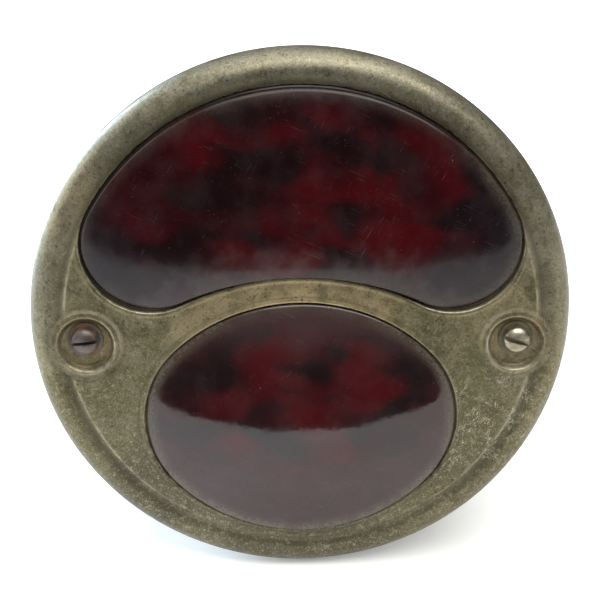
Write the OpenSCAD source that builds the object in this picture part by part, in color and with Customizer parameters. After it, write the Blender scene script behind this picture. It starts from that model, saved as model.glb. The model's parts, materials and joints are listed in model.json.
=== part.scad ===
// Round two-lens stop and tail lamp: a pressed drum with a screwed-on lens door.
// The rear mounting face lies on the XZ plane, the lamp looks towards -Y, and +Z is up.
// Every sub-part is drawn lying on its back, as (across, up, forward), and lamp() stands it up.

/* [Drum] */
// Outside radius of the drum
drum_r = 47; // [46.5:0.1:47.5]
// Mounting face to the door's widest plane
drum_depth = 57; // [57:0.5:60]
// Sheet thickness of the drum and the fittings inside it
sheet = 0.8; // [0.7:0.05:0.9]
// Radius of the drum's rear corner
drum_corner_r = 4; // [3:0.5:5]

/* [Door] */
// Radius at the door's widest plane
door_r = 54; // [54:0.1:54.6]
// Section radius of the bead round the door
bead_r = 5.3; // [5.25:0.05:5.35]
// Panel's front face ahead of the widest plane
face_rise = 5; // [4.9:0.05:5.1]
// Sheet thickness of the door
door_sheet = 0.8; // [0.7:0.05:0.85]
// Width of the raised ring round the tail opening
ring_w = 0.9; // [0.6:0.1:1.9]
// Height of the raised ring round the tail opening
ring_h = 0.3; // [0.2:0.1:0.6]

/* [Lens openings] */
// Stop opening: how far across each end lobe's centre is
lobe_x = 29.6; // [29:0.1:30]
// Stop opening: how far up each end lobe's centre is
lobe_y = 16.4; // [16:0.1:17]
// Stop opening: radius of the end lobes
lobe_r = 13.5; // [13:0.1:13.5]
// Stop opening: how far down the centre of its lower edge's arc is
waist_y = -40.85; // [-42:0.05:-40]
// Tail opening: how far across the centres of its end arcs are
oval_x = 11.6; // [11.4:0.1:11.8]
// Tail opening: radius of its end arcs
oval_r = 20; // [19.8:0.1:20.2]
// Tail opening: how far its long arcs' centres are from its middle
oval_arc_y = 11.97; // [11.8:0.01:12.1]
// Tail opening: how far up its middle is
oval_y = -19.8; // [-20:0.1:-19.6]

/* [Door screws] */
// How far across each door screw is
screw_x = 42.8; // [42.6:0.1:43]
// How far up each door screw is
screw_y = -3; // [-3.5:0.1:-2.5]
// Shank radius of a door screw
screw_r = 1.75; // [1.7:0.01:1.75]
// Head radius of a door screw
screw_head_r = 2.7; // [2.6:0.05:3]
// Depth of the dimple that each head sits in
dimple_d = 1.5; // [1.2:0.1:1.6]
// Radius of the dimple's floor
dimple_r = 5.3; // [5:0.1:5.4]

/* [Rear mounting] */
// Distance between the two mounting studs
stud_pitch = 38.1; // [38:0.1:40]
// Radius of a mounting stud
stud_r = 3.175; // [3:0.005:3.2]
// How far a stud stands out behind the mounting face
stud_out = 19; // [15:1:25]
// Bore radius of the cable connector
connector_r = 7; // [6.8:0.05:7.1]
// How far the connector stands out behind the mounting face
connector_out = 12; // [11:0.5:14]

/* [Bulbs] */
// How far up the stop bulb's axis is
stop_y = 27; // [26.5:0.1:27.5]
// Radius of the stop bulb's glass
stop_glass_r = 12.7; // [12:0.1:13]
// Radius of the tail bulb's glass
tail_glass_r = 9.5; // [9:0.1:10]
// Radius of a bulb's base
base_r = 7.5; // [7.4:0.05:7.55]
// How far a bulb can be pushed in against its spring
push_travel = 2; // [1.5:0.1:2]
// How far a bulb turns from locked to free
twist_angle = 25; // [20:1:30]

/* [Hidden] */
$fn = 96;

// Heights, measured forward from the mounting face
widest_h = drum_depth;
panel_h = widest_h + face_rise;
panel_back_h = panel_h - door_sheet;
flange_h = panel_back_h - 2;
retainer_front_h = flange_h - 1.2;
retainer_h = retainer_front_h - sheet;
stud_plate_t = 1.6;
stud_plate_front_h = sheet + stud_plate_t;
plate_h = 11;
insert_back_h = -1;
contact_x = 2.8;
plate_front_h = plate_h + sheet;

// Door: the bead's centre circle, and the skirt behind the widest plane
bead_c = door_r - bead_r;
skirt_angle = 35;
skirt_r = door_r - 1.8;
skirt_h = widest_h - 5.8;

// Drum: the flared mouth that the door closes on
mouth_r = skirt_r - door_sheet - 0.5;
flare_from_h = widest_h - 8;
flare_to_h = widest_h - 4.8;
mouth_h = widest_h + 1;
drum_inner_r = drum_r - sheet;

// Door screws
floor_h = panel_h - dimple_d;
dimple_slope = 1.4;
washer_t = 0.4;
washer_r = 3.5;
head_h = 2.3;
lug_front_h = widest_h - 3;
lug_back_h = lug_front_h - 8;
lug_r = 3.2;

// Lenses: crown heights and sphere radii of the two glasses
lens_gap = 0.9;
lens_flange = 1.4;
lens_t = 3;
stop_crown_h = panel_h + 4.2;
stop_sphere_r = 220;
stop_sphere_y = 24;
tail_crown_h = panel_h + 3.6;
tail_sphere_r = 150;

// Bulb sockets, measured forward from the mounting face
socket_back_h = 5;
socket_front_h = 24.5;
socket_bore_r = base_r + 0.3;
socket_r = socket_bore_r + 0.7;
socket_flange_r = 12.5;
washer_back_h = socket_back_h + sheet;
washer_front_h = washer_back_h + 1.5;
disc_h = 12.2;
disc_t = 2;
button_h = disc_h + disc_t;
button_t = 1;
bulb_h = button_h + button_t;
pin_h = bulb_h + 5.2;
pin_r = 1;
pin_reach = base_r + 1.8;
base_front_h = bulb_h + 14.8;

// Wires and springs
lead_r = 1;
lead_sides = 8;
spring_wire_r = 0.42;
spring_r = 4.8;
spring_turns = 3;
spring_rings = 60;

// Rear plate, rivets and posts
post_spots = [[33, 10], [-33, 10], [30, -24], [-30, -24]];
retainer_spots = [[32.5, -0.8], [-32.5, -0.8], [38.5, -16], [-38.5, -16]];
divider_r = norm([lobe_x, lobe_y - waist_y]) - lobe_r - 2.25;
foot_x = 14;
rivet_r = 1.3;
rivet_head_r = 2.3;
rivet_sag = 0.15;
window_half_w = 20;
window_from_h = 16;
window_to_h = 44;
window_border = 4;
window_t = 1.8;
window_rivet_angle = 33;
window_rivet_hs = [window_from_h + 5, window_to_h - 5];
lug_rivet_angles = [-11.5, 4];
lug_rivet_h = lug_back_h - 4;

// ---------------------------------------------------------------- helpers

// Stands a sub-part up: forward becomes -Y, up becomes +Z
module lamp() rotate([90, 0, 0]) children();

// Puts a sub-part at a height, ahead of the mounting face
module at(h, x = 0, y = 0) translate([x, y, h]) children();

// A washer or tube from one height to another
module tube(r_out, r_in, from_h, to_h) {
    at(from_h) difference() {
        cylinder(r = r_out, h = to_h - from_h);
        at(-1) cylinder(r = r_in, h = to_h - from_h + 2);
    }
}

// Four-arc kidney outline of the stop opening, with every arc grown by the same amount
module kidney(grow = 0) {
    lobe = [lobe_x, lobe_y];
    waist = [0, waist_y];
    outer = norm(lobe) + lobe_r + grow;
    inner = norm(lobe - waist) - lobe_r - grow;
    far = 2.2 * lobe;
    difference() {
        intersection() {
            circle(r = outer);
            polygon([waist, lobe, far, [far[0], 90], [-far[0], 90], [-far[0], far[1]],
                [-lobe[0], lobe[1]]]);
        }
        translate(waist) circle(r = inner);
    }
    for (side = [-1, 1]) translate([side * lobe_x, lobe_y]) circle(r = lobe_r + grow);
}

// Radius of the oval's two long arcs
function oval_long_r(grow) = norm([oval_x, oval_arc_y]) + oval_r + grow;

// Hourglass round the oval's centre that holds everything between its two end arcs
module oval_wedge() {
    far = [4 * oval_x, 3 * oval_arc_y];
    polygon([[oval_x, 0], [far[0], far[1]], [-far[0], far[1]], [-oval_x, 0],
        [-far[0], -far[1]], [far[0], -far[1]]]);
}

// Four-arc oval outline of the tail opening, with every arc grown by the same amount
module oval(grow = 0) {
    translate([0, oval_y]) {
        intersection() {
            translate([0, -oval_arc_y]) circle(r = oval_long_r(grow));
            translate([0, oval_arc_y]) circle(r = oval_long_r(grow));
            oval_wedge();
        }
        for (side = [-1, 1]) translate([side * oval_x, 0]) circle(r = oval_r + grow);
    }
}

// A domed-head rivet along the radius at an angle, through everything from r_in to r_out
module radial_rivet(angle, h, r_in, r_out) {
    head_t = 0.8;
    rotate([0, 0, angle]) at(h) rotate([0, 90, 0]) {
        at(r_in - head_t) cylinder(r = rivet_head_r, h = head_t);
        at(r_in) cylinder(r = rivet_r, h = r_out - r_in);
        at(r_out) cylinder(r1 = rivet_head_r, r2 = rivet_r, h = head_t);
    }
}

// The hole for such a rivet
module radial_hole(angle, h, r_in, r_out) {
    rotate([0, 0, angle]) at(h) rotate([0, 90, 0]) at(r_in)
        cylinder(r = rivet_r + 0.1, h = r_out - r_in);
}

// Sweeps a round wire along a list of points, keeping its seam away from ref
function unit(v) = v / norm(v);
function tangent(path, i) =
    unit(path[min(i + 1, len(path) - 1)] - path[max(i - 1, 0)]);
function ring(path, i, r, sides, ref) =
    let (t = tangent(path, i), u = unit(cross(t, ref)), v = cross(t, u))
    [for (k = [0:sides - 1]) path[i] + r * (cos(360 * k / sides) * u + sin(360 * k / sides) * v)];

module wire(path, r, sides, ref) {
    n = len(path);
    points = [for (i = [0:n - 1]) each ring(path, i, r, sides, ref)];
    walls = [for (i = [0:n - 2]) for (k = [0:sides - 1])
        [i * sides + k, i * sides + (k + 1) % sides, (i + 1) * sides + (k + 1) % sides,
            (i + 1) * sides + k]];
    first = [for (k = [0:sides - 1]) sides - 1 - k];
    last = [for (k = [0:sides - 1]) (n - 1) * sides + k];
    polyhedron(points, concat([first], walls, [last]));
}

// Rounds a hand-chosen route off: a smooth curve through its points
function blend(a, b, c, d, t) =
    0.5 * (2 * b + t * (c - a) + t * t * (2 * a - 5 * b + 4 * c - d)
        + t * t * t * (3 * b - a - 3 * c + d));
function smooth(p, steps) =
    let (n = len(p))
    [for (i = [0:n - 2]) for (s = [0:steps - (i < n - 2 ? 1 : 0)])
        blend(p[max(i - 1, 0)], p[i], p[i + 1], p[min(i + 2, n - 1)], s / steps)];

// ---------------------------------------------------------------- drum

// Solid of the drum's outline, set in by the sheet's thickness
module drum_solid(inset) {
    r = drum_r - inset;
    corner = drum_corner_r - inset;
    rotate_extrude() union() {
        translate([0, inset]) square([r - corner, widest_h]);
        translate([0, inset + corner]) square([r, flare_from_h - inset - corner]);
        translate([r - corner, inset + corner]) circle(r = corner);
        polygon([[0, flare_from_h - 1], [r, flare_from_h - 1], [r, flare_from_h],
            [mouth_r - inset, flare_to_h], [mouth_r - inset, mouth_h + inset], [0, mouth_h + inset]]);
    }
}

module drum_shell() {
    color("#55574e") lamp() difference() {
        intersection() {
            drum_solid(0);
            cylinder(r = door_r, h = mouth_h);
        }
        drum_solid(sheet);
        for (side = [-1, 1]) at(-1, side * stud_pitch / 2) cylinder(r = stud_r + 0.125, h = 3);
        at(-1) cylinder(r = connector_r + 1.3, h = 3);
        translate([-window_half_w + window_border, -drum_r - 1, window_from_h + window_border])
            cube([2 * (window_half_w - window_border), 15,
                window_to_h - window_from_h - 2 * window_border]);
        for (h = window_rivet_hs) for (side = [-1, 1])
            radial_hole(-90 + side * window_rivet_angle, h, drum_r - 5, drum_r + 5);
        for (a = lug_rivet_angles) {
            radial_hole(a, lug_rivet_h, drum_r - 5, drum_r + 5);
            radial_hole(180 - a, lug_rivet_h, drum_r - 5, drum_r + 5);
        }
    }
}

module stud_plate() {
    half = stud_pitch / 2;
    color("#6d6f6a") lamp() at(sheet) linear_extrude(stud_plate_t) difference() {
        union() {
            square([2 * half, 20], center = true);
            for (side = [-1, 1]) translate([side * half, 0]) circle(r = 10);
            circle(r = 13);
        }
        for (side = [-1, 1]) translate([side * half, 0]) circle(r = stud_r + 0.125);
        circle(r = connector_r + 1.3);
    }
}

module mounting_studs() {
    chamfer = 0.8;
    stud_shoulder = 0.05;
    color("#8a8a80") lamp() for (side = [-1, 1]) at(0, side * stud_pitch / 2) {
        at(-stud_out + chamfer) cylinder(r = stud_r, h = stud_out - chamfer);
        cylinder(r = stud_r + stud_shoulder, h = stud_plate_front_h);
        at(-stud_out) cylinder(r1 = stud_r - chamfer, r2 = stud_r, h = chamfer);
        at(stud_plate_front_h) cylinder(r = 6.4, h = 4, $fn = 6);
    }
}

module connector_shell() {
    wall_r = connector_r + 1.2;
    slot = 2.4;
    color("#a58a4f") lamp() difference() {
        union() {
            tube(wall_r, connector_r, -connector_out, insert_back_h);
            tube(wall_r, connector_r + 0.4, insert_back_h, stud_plate_front_h + sheet);
            tube(connector_r + 2.6, connector_r + 0.4, stud_plate_front_h,
                stud_plate_front_h + sheet);
        }
        for (side = [0, 180]) rotate([0, 0, side]) {
            translate([connector_r - 1, -slot / 2, -connector_out - 1]) cube([4, slot, 6]);
            translate([connector_r - 1, -slot / 2, -connector_out + 3]) cube([4, 2 * slot, slot]);
        }
    }
}

module connector_insert() {
    color("#3d2a1e") lamp() difference() {
        at(insert_back_h) cylinder(r = connector_r + 0.35, h = stud_plate_front_h + 1.6);
        for (side = [-1, 1]) at(-2, side * contact_x) cylinder(r = 1.25, h = 9);
    }
}

module connector_contacts() {
    color("#b08d4a") lamp() for (side = [-1, 1]) at(insert_back_h, side * contact_x)
        cylinder(r = 1.2, h = stud_plate_front_h + 2.8);
}

// ---------------------------------------------------------------- inside the drum

module socket_plate() {
    color("#b9bab2") lamp() at(plate_h) linear_extrude(sheet) difference() {
        circle(r = drum_inner_r - 1.4);
        for (y = [stop_y, oval_y]) translate([0, y]) circle(r = socket_r + 0.1);
        for (p = post_spots) translate(p) circle(r = 1.7);
        for (side = [-1, 1]) translate([side * foot_x, 1.5]) circle(r = rivet_r + 0.1);
    }
}

module plate_posts() {
    color("#7d7f78") lamp() for (p = post_spots) at(0, p[0], p[1]) tube(3.2, 1.6, sheet, plate_h);
}

module plate_screws() {
    color("#9a9b93") lamp() for (p = post_spots) at(plate_front_h, p[0], p[1]) difference() {
        union() {
            at(-8) cylinder(r = 1.5, h = 8);
            cylinder(r1 = 3, r2 = 2.2, h = 1.7);
        }
        translate([-4, -0.4, 1]) cube([8, 0.8, 2]);
    }
}

// Curved partition that follows the bridge between the two openings
module light_divider() {
    front_h = retainer_h - 0.3;
    color("#a9aaa2") lamp() difference() {
        union() {
            intersection() {
                at(0, 0, waist_y) tube(divider_r + sheet / 2, divider_r - sheet / 2, plate_front_h, front_h);
                cylinder(r = drum_inner_r - 0.05, h = 80);
                translate([-60, -25, 0]) cube([120, 80, 80]);
            }
            for (side = [-1, 1]) translate([side * foot_x - 5, -2.5, plate_front_h])
                cube([10, 9, sheet]);
        }
        for (side = [-1, 1]) at(plate_h, side * foot_x, 1.5) cylinder(r = rivet_r + 0.1, h = 4);
        at(plate_front_h, 0, waist_y) difference() {
            cylinder(r = divider_r + 8, h = sheet + 1);
            at(-1) cylinder(r = divider_r + sheet / 2, h = sheet + 3);
        }
    }
}

module divider_rivets() {
    color("#8b8c84") lamp() for (side = [-1, 1]) at(plate_h - 0.7, side * foot_x, 1.5) {
        cylinder(r = rivet_head_r, h = 0.7);
        cylinder(r = rivet_r, h = 0.7 + 2 * sheet);
        at(0.7 + 2 * sheet) cylinder(r1 = rivet_head_r, r2 = rivet_r, h = 0.8);
    }
}

// A tapped boss on a curved foot that is riveted to the drum's wall
module lug(side) {
    foot_r = drum_inner_r - 0.05;
    foot_back_h = lug_back_h - 8;
    mirror([side < 0 ? 1 : 0, 0, 0]) difference() {
        union() {
            at(lug_back_h, screw_x, screw_y) cylinder(r = lug_r, h = lug_front_h - lug_back_h);
            intersection() {
                tube(foot_r, foot_r - 1, foot_back_h, lug_back_h + 3);
                translate([40, screw_y - 9, foot_back_h]) cube([20, 18, 20]);
            }
            translate([screw_x + 1, screw_y - 2, lug_back_h]) cube([1.9, 4, 3]);
        }
        at(lug_back_h - 1, screw_x, screw_y) cylinder(r = screw_r + 0.08, h = 20);
        for (a = lug_rivet_angles) radial_hole(a, lug_rivet_h, drum_r - 5, drum_r + 5);
    }
}

module screw_lugs() {
    color("#77766c") lamp() for (side = [-1, 1]) lug(side);
}

module lug_rivets() {
    color("#86867c") lamp() for (a = lug_rivet_angles) for (b = [a, 180 - a])
        radial_rivet(b, lug_rivet_h, drum_inner_r - 1 - rivet_sag, drum_r);
}

// Part of a ring that lies on the drum's lower wall, between two heights
module wall_patch(r_out, r_in, half_w, from_h, to_h) {
    intersection() {
        tube(r_out, r_in, from_h, to_h);
        translate([-half_w, -drum_r - 5, from_h]) cube([2 * half_w, 40, to_h - from_h]);
    }
}

module plate_window() {
    r = drum_inner_r - 0.05;
    color("#cfe0dc", 0.5) lamp()
        wall_patch(r, r - window_t, window_half_w, window_from_h, window_to_h);
}

module window_frame() {
    r = drum_inner_r - 0.1 - window_t;
    ear_w = 30;
    inner = window_half_w - window_border;
    color("#7f8078") lamp() difference() {
        union() {
            wall_patch(r, r - sheet, ear_w, window_from_h, window_to_h);
            difference() {
                wall_patch(drum_inner_r - 0.05, r - sheet, ear_w, window_from_h, window_to_h);
                translate([-window_half_w - 0.3, -drum_r - 5, 0])
                    cube([2 * window_half_w + 0.6, 40, 80]);
            }
        }
        translate([-inner, -drum_r - 5, window_from_h + window_border])
            cube([2 * inner, 40, window_to_h - window_from_h - 2 * window_border]);
        for (h = window_rivet_hs) for (side = [-1, 1])
            radial_hole(-90 + side * window_rivet_angle, h, drum_r - 8, drum_r + 5);
    }
}

module window_rivets() {
    color("#86867c") lamp() for (h = window_rivet_hs) for (side = [-1, 1])
        radial_rivet(-90 + side * window_rivet_angle, h,
            drum_inner_r - 0.1 - window_t - sheet - rivet_sag, drum_r);
}

// Each lead leaves a connector contact and enters its socket from behind
stop_route = [[2.8, 0, 4.5], [2.8, 0, 5.3], [2.8, 1, 6.3], [2.5, 4, 6.9], [2, 8.5, 6.1],
    [1, 14, 4.1], [0.3, 19, 2.7], [0, 23.5, 2.5], [0, 26.2, 3.4], [0, 27, 5], [0, 27, 7]];
tail_route = [[-2.8, 0, 4.5], [-2.8, 0, 5.3], [-2.8, -1, 6.3], [-2.5, -4, 6.9], [-1.9, -7.6, 6.4],
    [-1.4, -10.3, 4.25], [-0.9, -12.6, 3.6], [-0.3, -16, 3.6], [0, -18.5, 3.6], [0, -19.8, 5],
    [0, -19.8, 7]];

module stop_lead() {
    color("#7b2a22") lamp() wire(smooth(stop_route, 4), lead_r, lead_sides, [1, 0, 0]);
}

module tail_lead() {
    color("#2b2b29") lamp() wire(smooth(tail_route, 4), lead_r, lead_sides, [1, 0, 0]);
}

// ---------------------------------------------------------------- bulbs and sockets

// Bayonet socket: a flanged tube with two L-shaped slots for the bulb's pins
module socket(y) {
    leg_back_h = pin_h - pin_r - push_travel - 0.25;
    leg_front_h = pin_h + pin_r + 0.2;
    slot_w = 2 * pin_r + 0.5;
    at(0, 0, y) difference() {
        union() {
            tube(socket_r, socket_bore_r, socket_back_h, socket_front_h);
            tube(socket_r, 5, socket_back_h, washer_back_h);
            tube(socket_flange_r, socket_bore_r, plate_front_h, plate_front_h + sheet);
        }
        for (side = [0, 180]) {
            rotate([0, 0, side + twist_angle]) translate([base_r - 1, -slot_w / 2, leg_back_h])
                cube([4, slot_w, 20]);
            rotate([0, 0, side - 9]) rotate_extrude(angle = twist_angle + 18)
                translate([base_r - 1, leg_back_h]) square([4, leg_front_h - leg_back_h]);
        }
    }
}

module stop_socket() {
    color("#9c8450") lamp() socket(stop_y);
}

module tail_socket() {
    color("#9c8450") lamp() socket(oval_y);
}

module socket_washer(y) {
    at(0, 0, y) tube(socket_bore_r - 0.1, lead_r + 0.35, washer_back_h, washer_front_h);
}

module stop_socket_washer() {
    color("#5a4030") lamp() socket_washer(stop_y);
}

module tail_socket_washer() {
    color("#5a4030") lamp() socket_washer(oval_y);
}

module contact_spring(y) {
    from_h = washer_front_h + spring_wire_r + 0.03;
    to_h = disc_h - spring_wire_r - 0.03;
    path = [for (i = [0:spring_rings]) let (s = i / spring_rings, a = 360 * spring_turns * s)
        [spring_r * cos(a), y + spring_r * sin(a), from_h + (to_h - from_h) * s]];
    wire(path, spring_wire_r, 8, [0, 0, 1]);
}

module stop_contact_spring() {
    color("#8f9398") lamp() contact_spring(stop_y);
}

module tail_contact_spring() {
    color("#8f9398") lamp() contact_spring(oval_y);
}

module contact_disc(y) {
    at(disc_h, 0, y) cylinder(r = socket_bore_r - 0.3, h = disc_t);
}

module stop_contact_disc() {
    color("#6a4a32") lamp() contact_disc(stop_y);
}

module tail_contact_disc() {
    color("#6a4a32") lamp() contact_disc(oval_y);
}

module contact_button(y) {
    at(button_h, 0, y) cylinder(r = 2.4, h = button_t);
}

module stop_contact_button() {
    color("#c2a05a") lamp() contact_button(stop_y);
}

module tail_contact_button() {
    color("#c2a05a") lamp() contact_button(oval_y);
}

// Brass base shell with its two side pins
module bulb_base(y) {
    back_h = bulb_h + 2;
    at(0, 0, y) {
        tube(base_r, base_r - 0.5, back_h, base_front_h);
        for (side = [0, 180]) rotate([0, 0, side]) at(pin_h) rotate([0, 90, 0])
            at(base_r - 0.2) cylinder(r = pin_r, h = pin_reach - base_r + 0.2);
    }
}

module stop_bulb_base() {
    color("#b39a5c") lamp() bulb_base(stop_y);
}

module tail_bulb_base() {
    color("#b39a5c") lamp() bulb_base(oval_y);
}

// Black glass plug in the base's rear end, with the solder contact in its middle
module bulb_insulator(y) {
    at(bulb_h, 0, y) {
        cylinder(r = 2.6, h = 1);
        at(1) cylinder(r1 = 3.4, r2 = base_r - 0.6, h = 1.4);
        at(2.4) cylinder(r = base_r - 0.6, h = 1.6);
    }
}

module stop_bulb_insulator() {
    color("#26221f") lamp() bulb_insulator(stop_y);
}

module tail_bulb_insulator() {
    color("#26221f") lamp() bulb_insulator(oval_y);
}

// Blown glass envelope: a neck in the base, a cone and a round bulb, all one hollow shell
module envelope_solid(glass_r, centre_h, inset) {
    neck_r = base_r - 0.6 - inset;
    swell_h = base_front_h + 1.5;
    lean = acos(0.8);
    union() {
        at(base_front_h - 8) cylinder(r = neck_r, h = swell_h - base_front_h + 8);
        at(swell_h) cylinder(r1 = neck_r, r2 = (glass_r - inset) * cos(lean),
            h = centre_h - (glass_r - inset) * sin(lean) - swell_h);
        at(centre_h) sphere(r = glass_r - inset);
    }
}

module bulb_glass(y, glass_r, centre_h) {
    at(0, 0, y) difference() {
        envelope_solid(glass_r, centre_h, 0);
        envelope_solid(glass_r, centre_h, 0.7);
        at(base_front_h - 9) cylinder(r = base_r - 1.3, h = 2);
    }
}

stop_glass_h = 57 - stop_glass_r;
tail_glass_h = 50 - tail_glass_r;

module stop_bulb_glass() {
    color("#e6ecea", 0.4) lamp() bulb_glass(stop_y, stop_glass_r, stop_glass_h);
}

module tail_bulb_glass() {
    color("#e6ecea", 0.4) lamp() bulb_glass(oval_y, tail_glass_r, tail_glass_h);
}

// Pressed glass stem that carries the filament's two wires
module bulb_stem(y) {
    at(base_front_h - 6, 0, y) {
        cylinder(r1 = 5.6, r2 = 2, h = 5);
        at(5) cylinder(r = 2, h = 4);
    }
}

module stop_bulb_stem() {
    color("#cfd8d6", 0.5) lamp() bulb_stem(stop_y);
}

module tail_bulb_stem() {
    color("#cfd8d6", 0.5) lamp() bulb_stem(oval_y);
}

// Two support wires with the filament stretched between them
module filament(y, to_h, reach) {
    stem_top_h = base_front_h + 3.12;
    lean = atan(reach / (to_h - stem_top_h));
    at(stem_top_h, 0, y) {
        for (side = [-1, 1]) rotate([0, side * lean, 0])
            cylinder(r = 0.3, h = (to_h - stem_top_h) / cos(lean));
        at(to_h - stem_top_h) rotate([0, 90, 0]) at(-reach) cylinder(r = 0.35, h = 2 * reach);
    }
}

module stop_filament() {
    color("#8d8f92") lamp() filament(stop_y, stop_glass_h, 4);
}

module tail_filament() {
    color("#8d8f92") lamp() filament(oval_y, tail_glass_h, 3);
}

// ---------------------------------------------------------------- lens door

// Solid of the door's outline, set in by the sheet's thickness
module door_solid(inset) {
    section_r = bead_r - inset;
    back_h = skirt_h - (inset > 0 ? 1 : 0);
    rotate_extrude() union() {
        translate([0, widest_h - 1]) square([bead_c, face_rise - inset + 1]);
        translate([bead_c, widest_h]) circle(r = section_r);
        polygon([[0, back_h], [skirt_r - inset, back_h],
            [bead_c + section_r * cos(skirt_angle), widest_h - section_r * sin(skirt_angle)],
            [bead_c, widest_h], [0, widest_h]]);
    }
}

// Dimple round a door screw, grown by the sheet's thickness for its back
module dimple(grow) {
    h = 4;
    at(floor_h - grow) cylinder(r1 = dimple_r + 0.8 * grow, r2 = dimple_r + 0.8 * grow
        + h * dimple_slope, h = h);
}

module lens_door() {
    color("#8c8a72") lamp() difference() {
        union() {
            difference() {
                door_solid(0);
                door_solid(door_sheet);
            }
            intersection() {
                door_solid(0);
                for (side = [-1, 1]) at(0, side * screw_x, screw_y) dimple(door_sheet);
            }
            at(panel_h - 0.1) linear_extrude(ring_h + 0.1) oval(ring_w);
        }
        for (side = [-1, 1]) at(0, side * screw_x, screw_y) {
            dimple(0);
            at(floor_h - 3) cylinder(r = screw_r + 0.25, h = 6);
        }
        at(panel_h - 5) linear_extrude(12) kidney();
        at(panel_h - 5) linear_extrude(12) oval();
    }
}

// Pressed glass: a flange behind the panel and a hollow dome through the opening
module stop_lens() {
    color("#4a0d16") lamp() difference() {
        union() {
            at(flange_h) linear_extrude(panel_back_h - flange_h) kidney(lens_flange);
            intersection() {
                at(flange_h) linear_extrude(20) kidney(-lens_gap);
                at(stop_crown_h - stop_sphere_r, 0, stop_sphere_y) sphere(r = stop_sphere_r);
            }
        }
        intersection() {
            at(flange_h - 1) linear_extrude(20) kidney(-lens_gap - 2.5);
            at(stop_crown_h - stop_sphere_r, 0, stop_sphere_y) sphere(r = stop_sphere_r - lens_t);
        }
    }
}

// Body inside the oval outline, from one height up to a sphere under the tail lens's crown
module oval_dome(grow, from_h, sphere_r) {
    sphere_h = tail_crown_h - tail_sphere_r;
    intersection() {
        at(sphere_h, 0, oval_y) sphere(r = sphere_r);
        at(from_h, 0, oval_y) intersection() {
            translate([0, -oval_arc_y]) cylinder(r = oval_long_r(grow), h = 20);
            translate([0, oval_arc_y]) cylinder(r = oval_long_r(grow), h = 20);
            linear_extrude(20) oval_wedge();
        }
    }
    for (side = [-1, 1]) intersection() {
        at(sphere_h, 0, oval_y) sphere(r = sphere_r);
        at(from_h, side * oval_x, oval_y) cylinder(r = oval_r + grow, h = 20);
    }
}

module tail_lens() {
    color("#4a0d16") lamp() difference() {
        union() {
            at(flange_h) linear_extrude(panel_back_h - flange_h) oval(lens_flange);
            oval_dome(-lens_gap, flange_h, tail_sphere_r);
        }
        oval_dome(-lens_gap - 2.5, flange_h - 1, tail_sphere_r - lens_t);
    }
}

gasket_in = 2.2;

module stop_lens_gasket() {
    color("#5b4a35") lamp() at(retainer_front_h) linear_extrude(flange_h - retainer_front_h)
        difference() {
            kidney(lens_flange);
            kidney(-gasket_in);
        }
}

module tail_lens_gasket() {
    color("#5b4a35") lamp() at(retainer_front_h) linear_extrude(flange_h - retainer_front_h)
        difference() {
            oval(lens_flange);
            oval(-gasket_in);
        }
}

module lens_retainer() {
    color("#83847b") lamp() at(retainer_h) linear_extrude(sheet) difference() {
        circle(r = norm([lobe_x, lobe_y]) + lobe_r + 1.2);
        kidney(-gasket_in);
        oval(-gasket_in);
        for (side = [-1, 1]) translate([side * screw_x, screw_y]) circle(r = 3);
        for (p = retainer_spots) translate(p) circle(r = 1.15);
    }
}

module retainer_posts() {
    color("#8c8a72") lamp() for (p = retainer_spots) at(0, p[0], p[1])
        tube(2.1, 1.1, retainer_front_h, panel_back_h);
}

module retainer_screws() {
    color("#92938a") lamp() for (p = retainer_spots) at(retainer_h, p[0], p[1]) difference() {
        union() {
            cylinder(r = 1, h = 3.4);
            at(-1) cylinder(r1 = 1.5, r2 = 1.9, h = 1);
        }
        translate([-3, -0.25, -1.5]) cube([6, 0.5, 1]);
    }
}

module door_gasket() {
    color("#4d4031") lamp() difference() {
        rotate_extrude() intersection() {
            translate([bead_c + 0.3, mouth_h + 0.1]) square([2.2, 10]);
            translate([bead_c, widest_h]) circle(r = bead_r - door_sheet - 0.02);
        }
        for (side = [-1, 1]) at(0, side * screw_x, screw_y) dimple(door_sheet + 0.05);
    }
}

module screw_washer(side) {
    at(0, side * screw_x, screw_y) tube(washer_r, screw_r + 0.1, floor_h, floor_h + washer_t);
}

module left_screw_washer() {
    color("#7d7668") lamp() screw_washer(-1);
}

module right_screw_washer() {
    color("#8d897a") lamp() screw_washer(1);
}

// Slotted fillister-head screw, its slot turned to an angle
module door_screw(side, slot_angle) {
    seat_h = floor_h + washer_t;
    tip_h = lug_back_h + 0.5;
    at(0, side * screw_x, screw_y) difference() {
        union() {
            at(tip_h) cylinder(r1 = screw_r - 0.6, r2 = screw_r, h = 0.6);
            at(tip_h + 0.6) cylinder(r = screw_r, h = seat_h - tip_h - 0.6);
            at(seat_h) cylinder(r = screw_head_r, h = head_h - 0.6);
            at(seat_h + head_h - 0.6) cylinder(r1 = screw_head_r, r2 = screw_head_r - 0.9, h = 0.6);
        }
        at(seat_h + head_h - 1) rotate([0, 0, slot_angle]) translate([-4, -0.35, 0])
            cube([8, 0.7, 2]);
    }
}

module left_door_screw() {
    color("#7a6f66") lamp() door_screw(-1, 6);
}

module right_door_screw() {
    color("#b3aa92") lamp() door_screw(1, -15);
}

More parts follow.
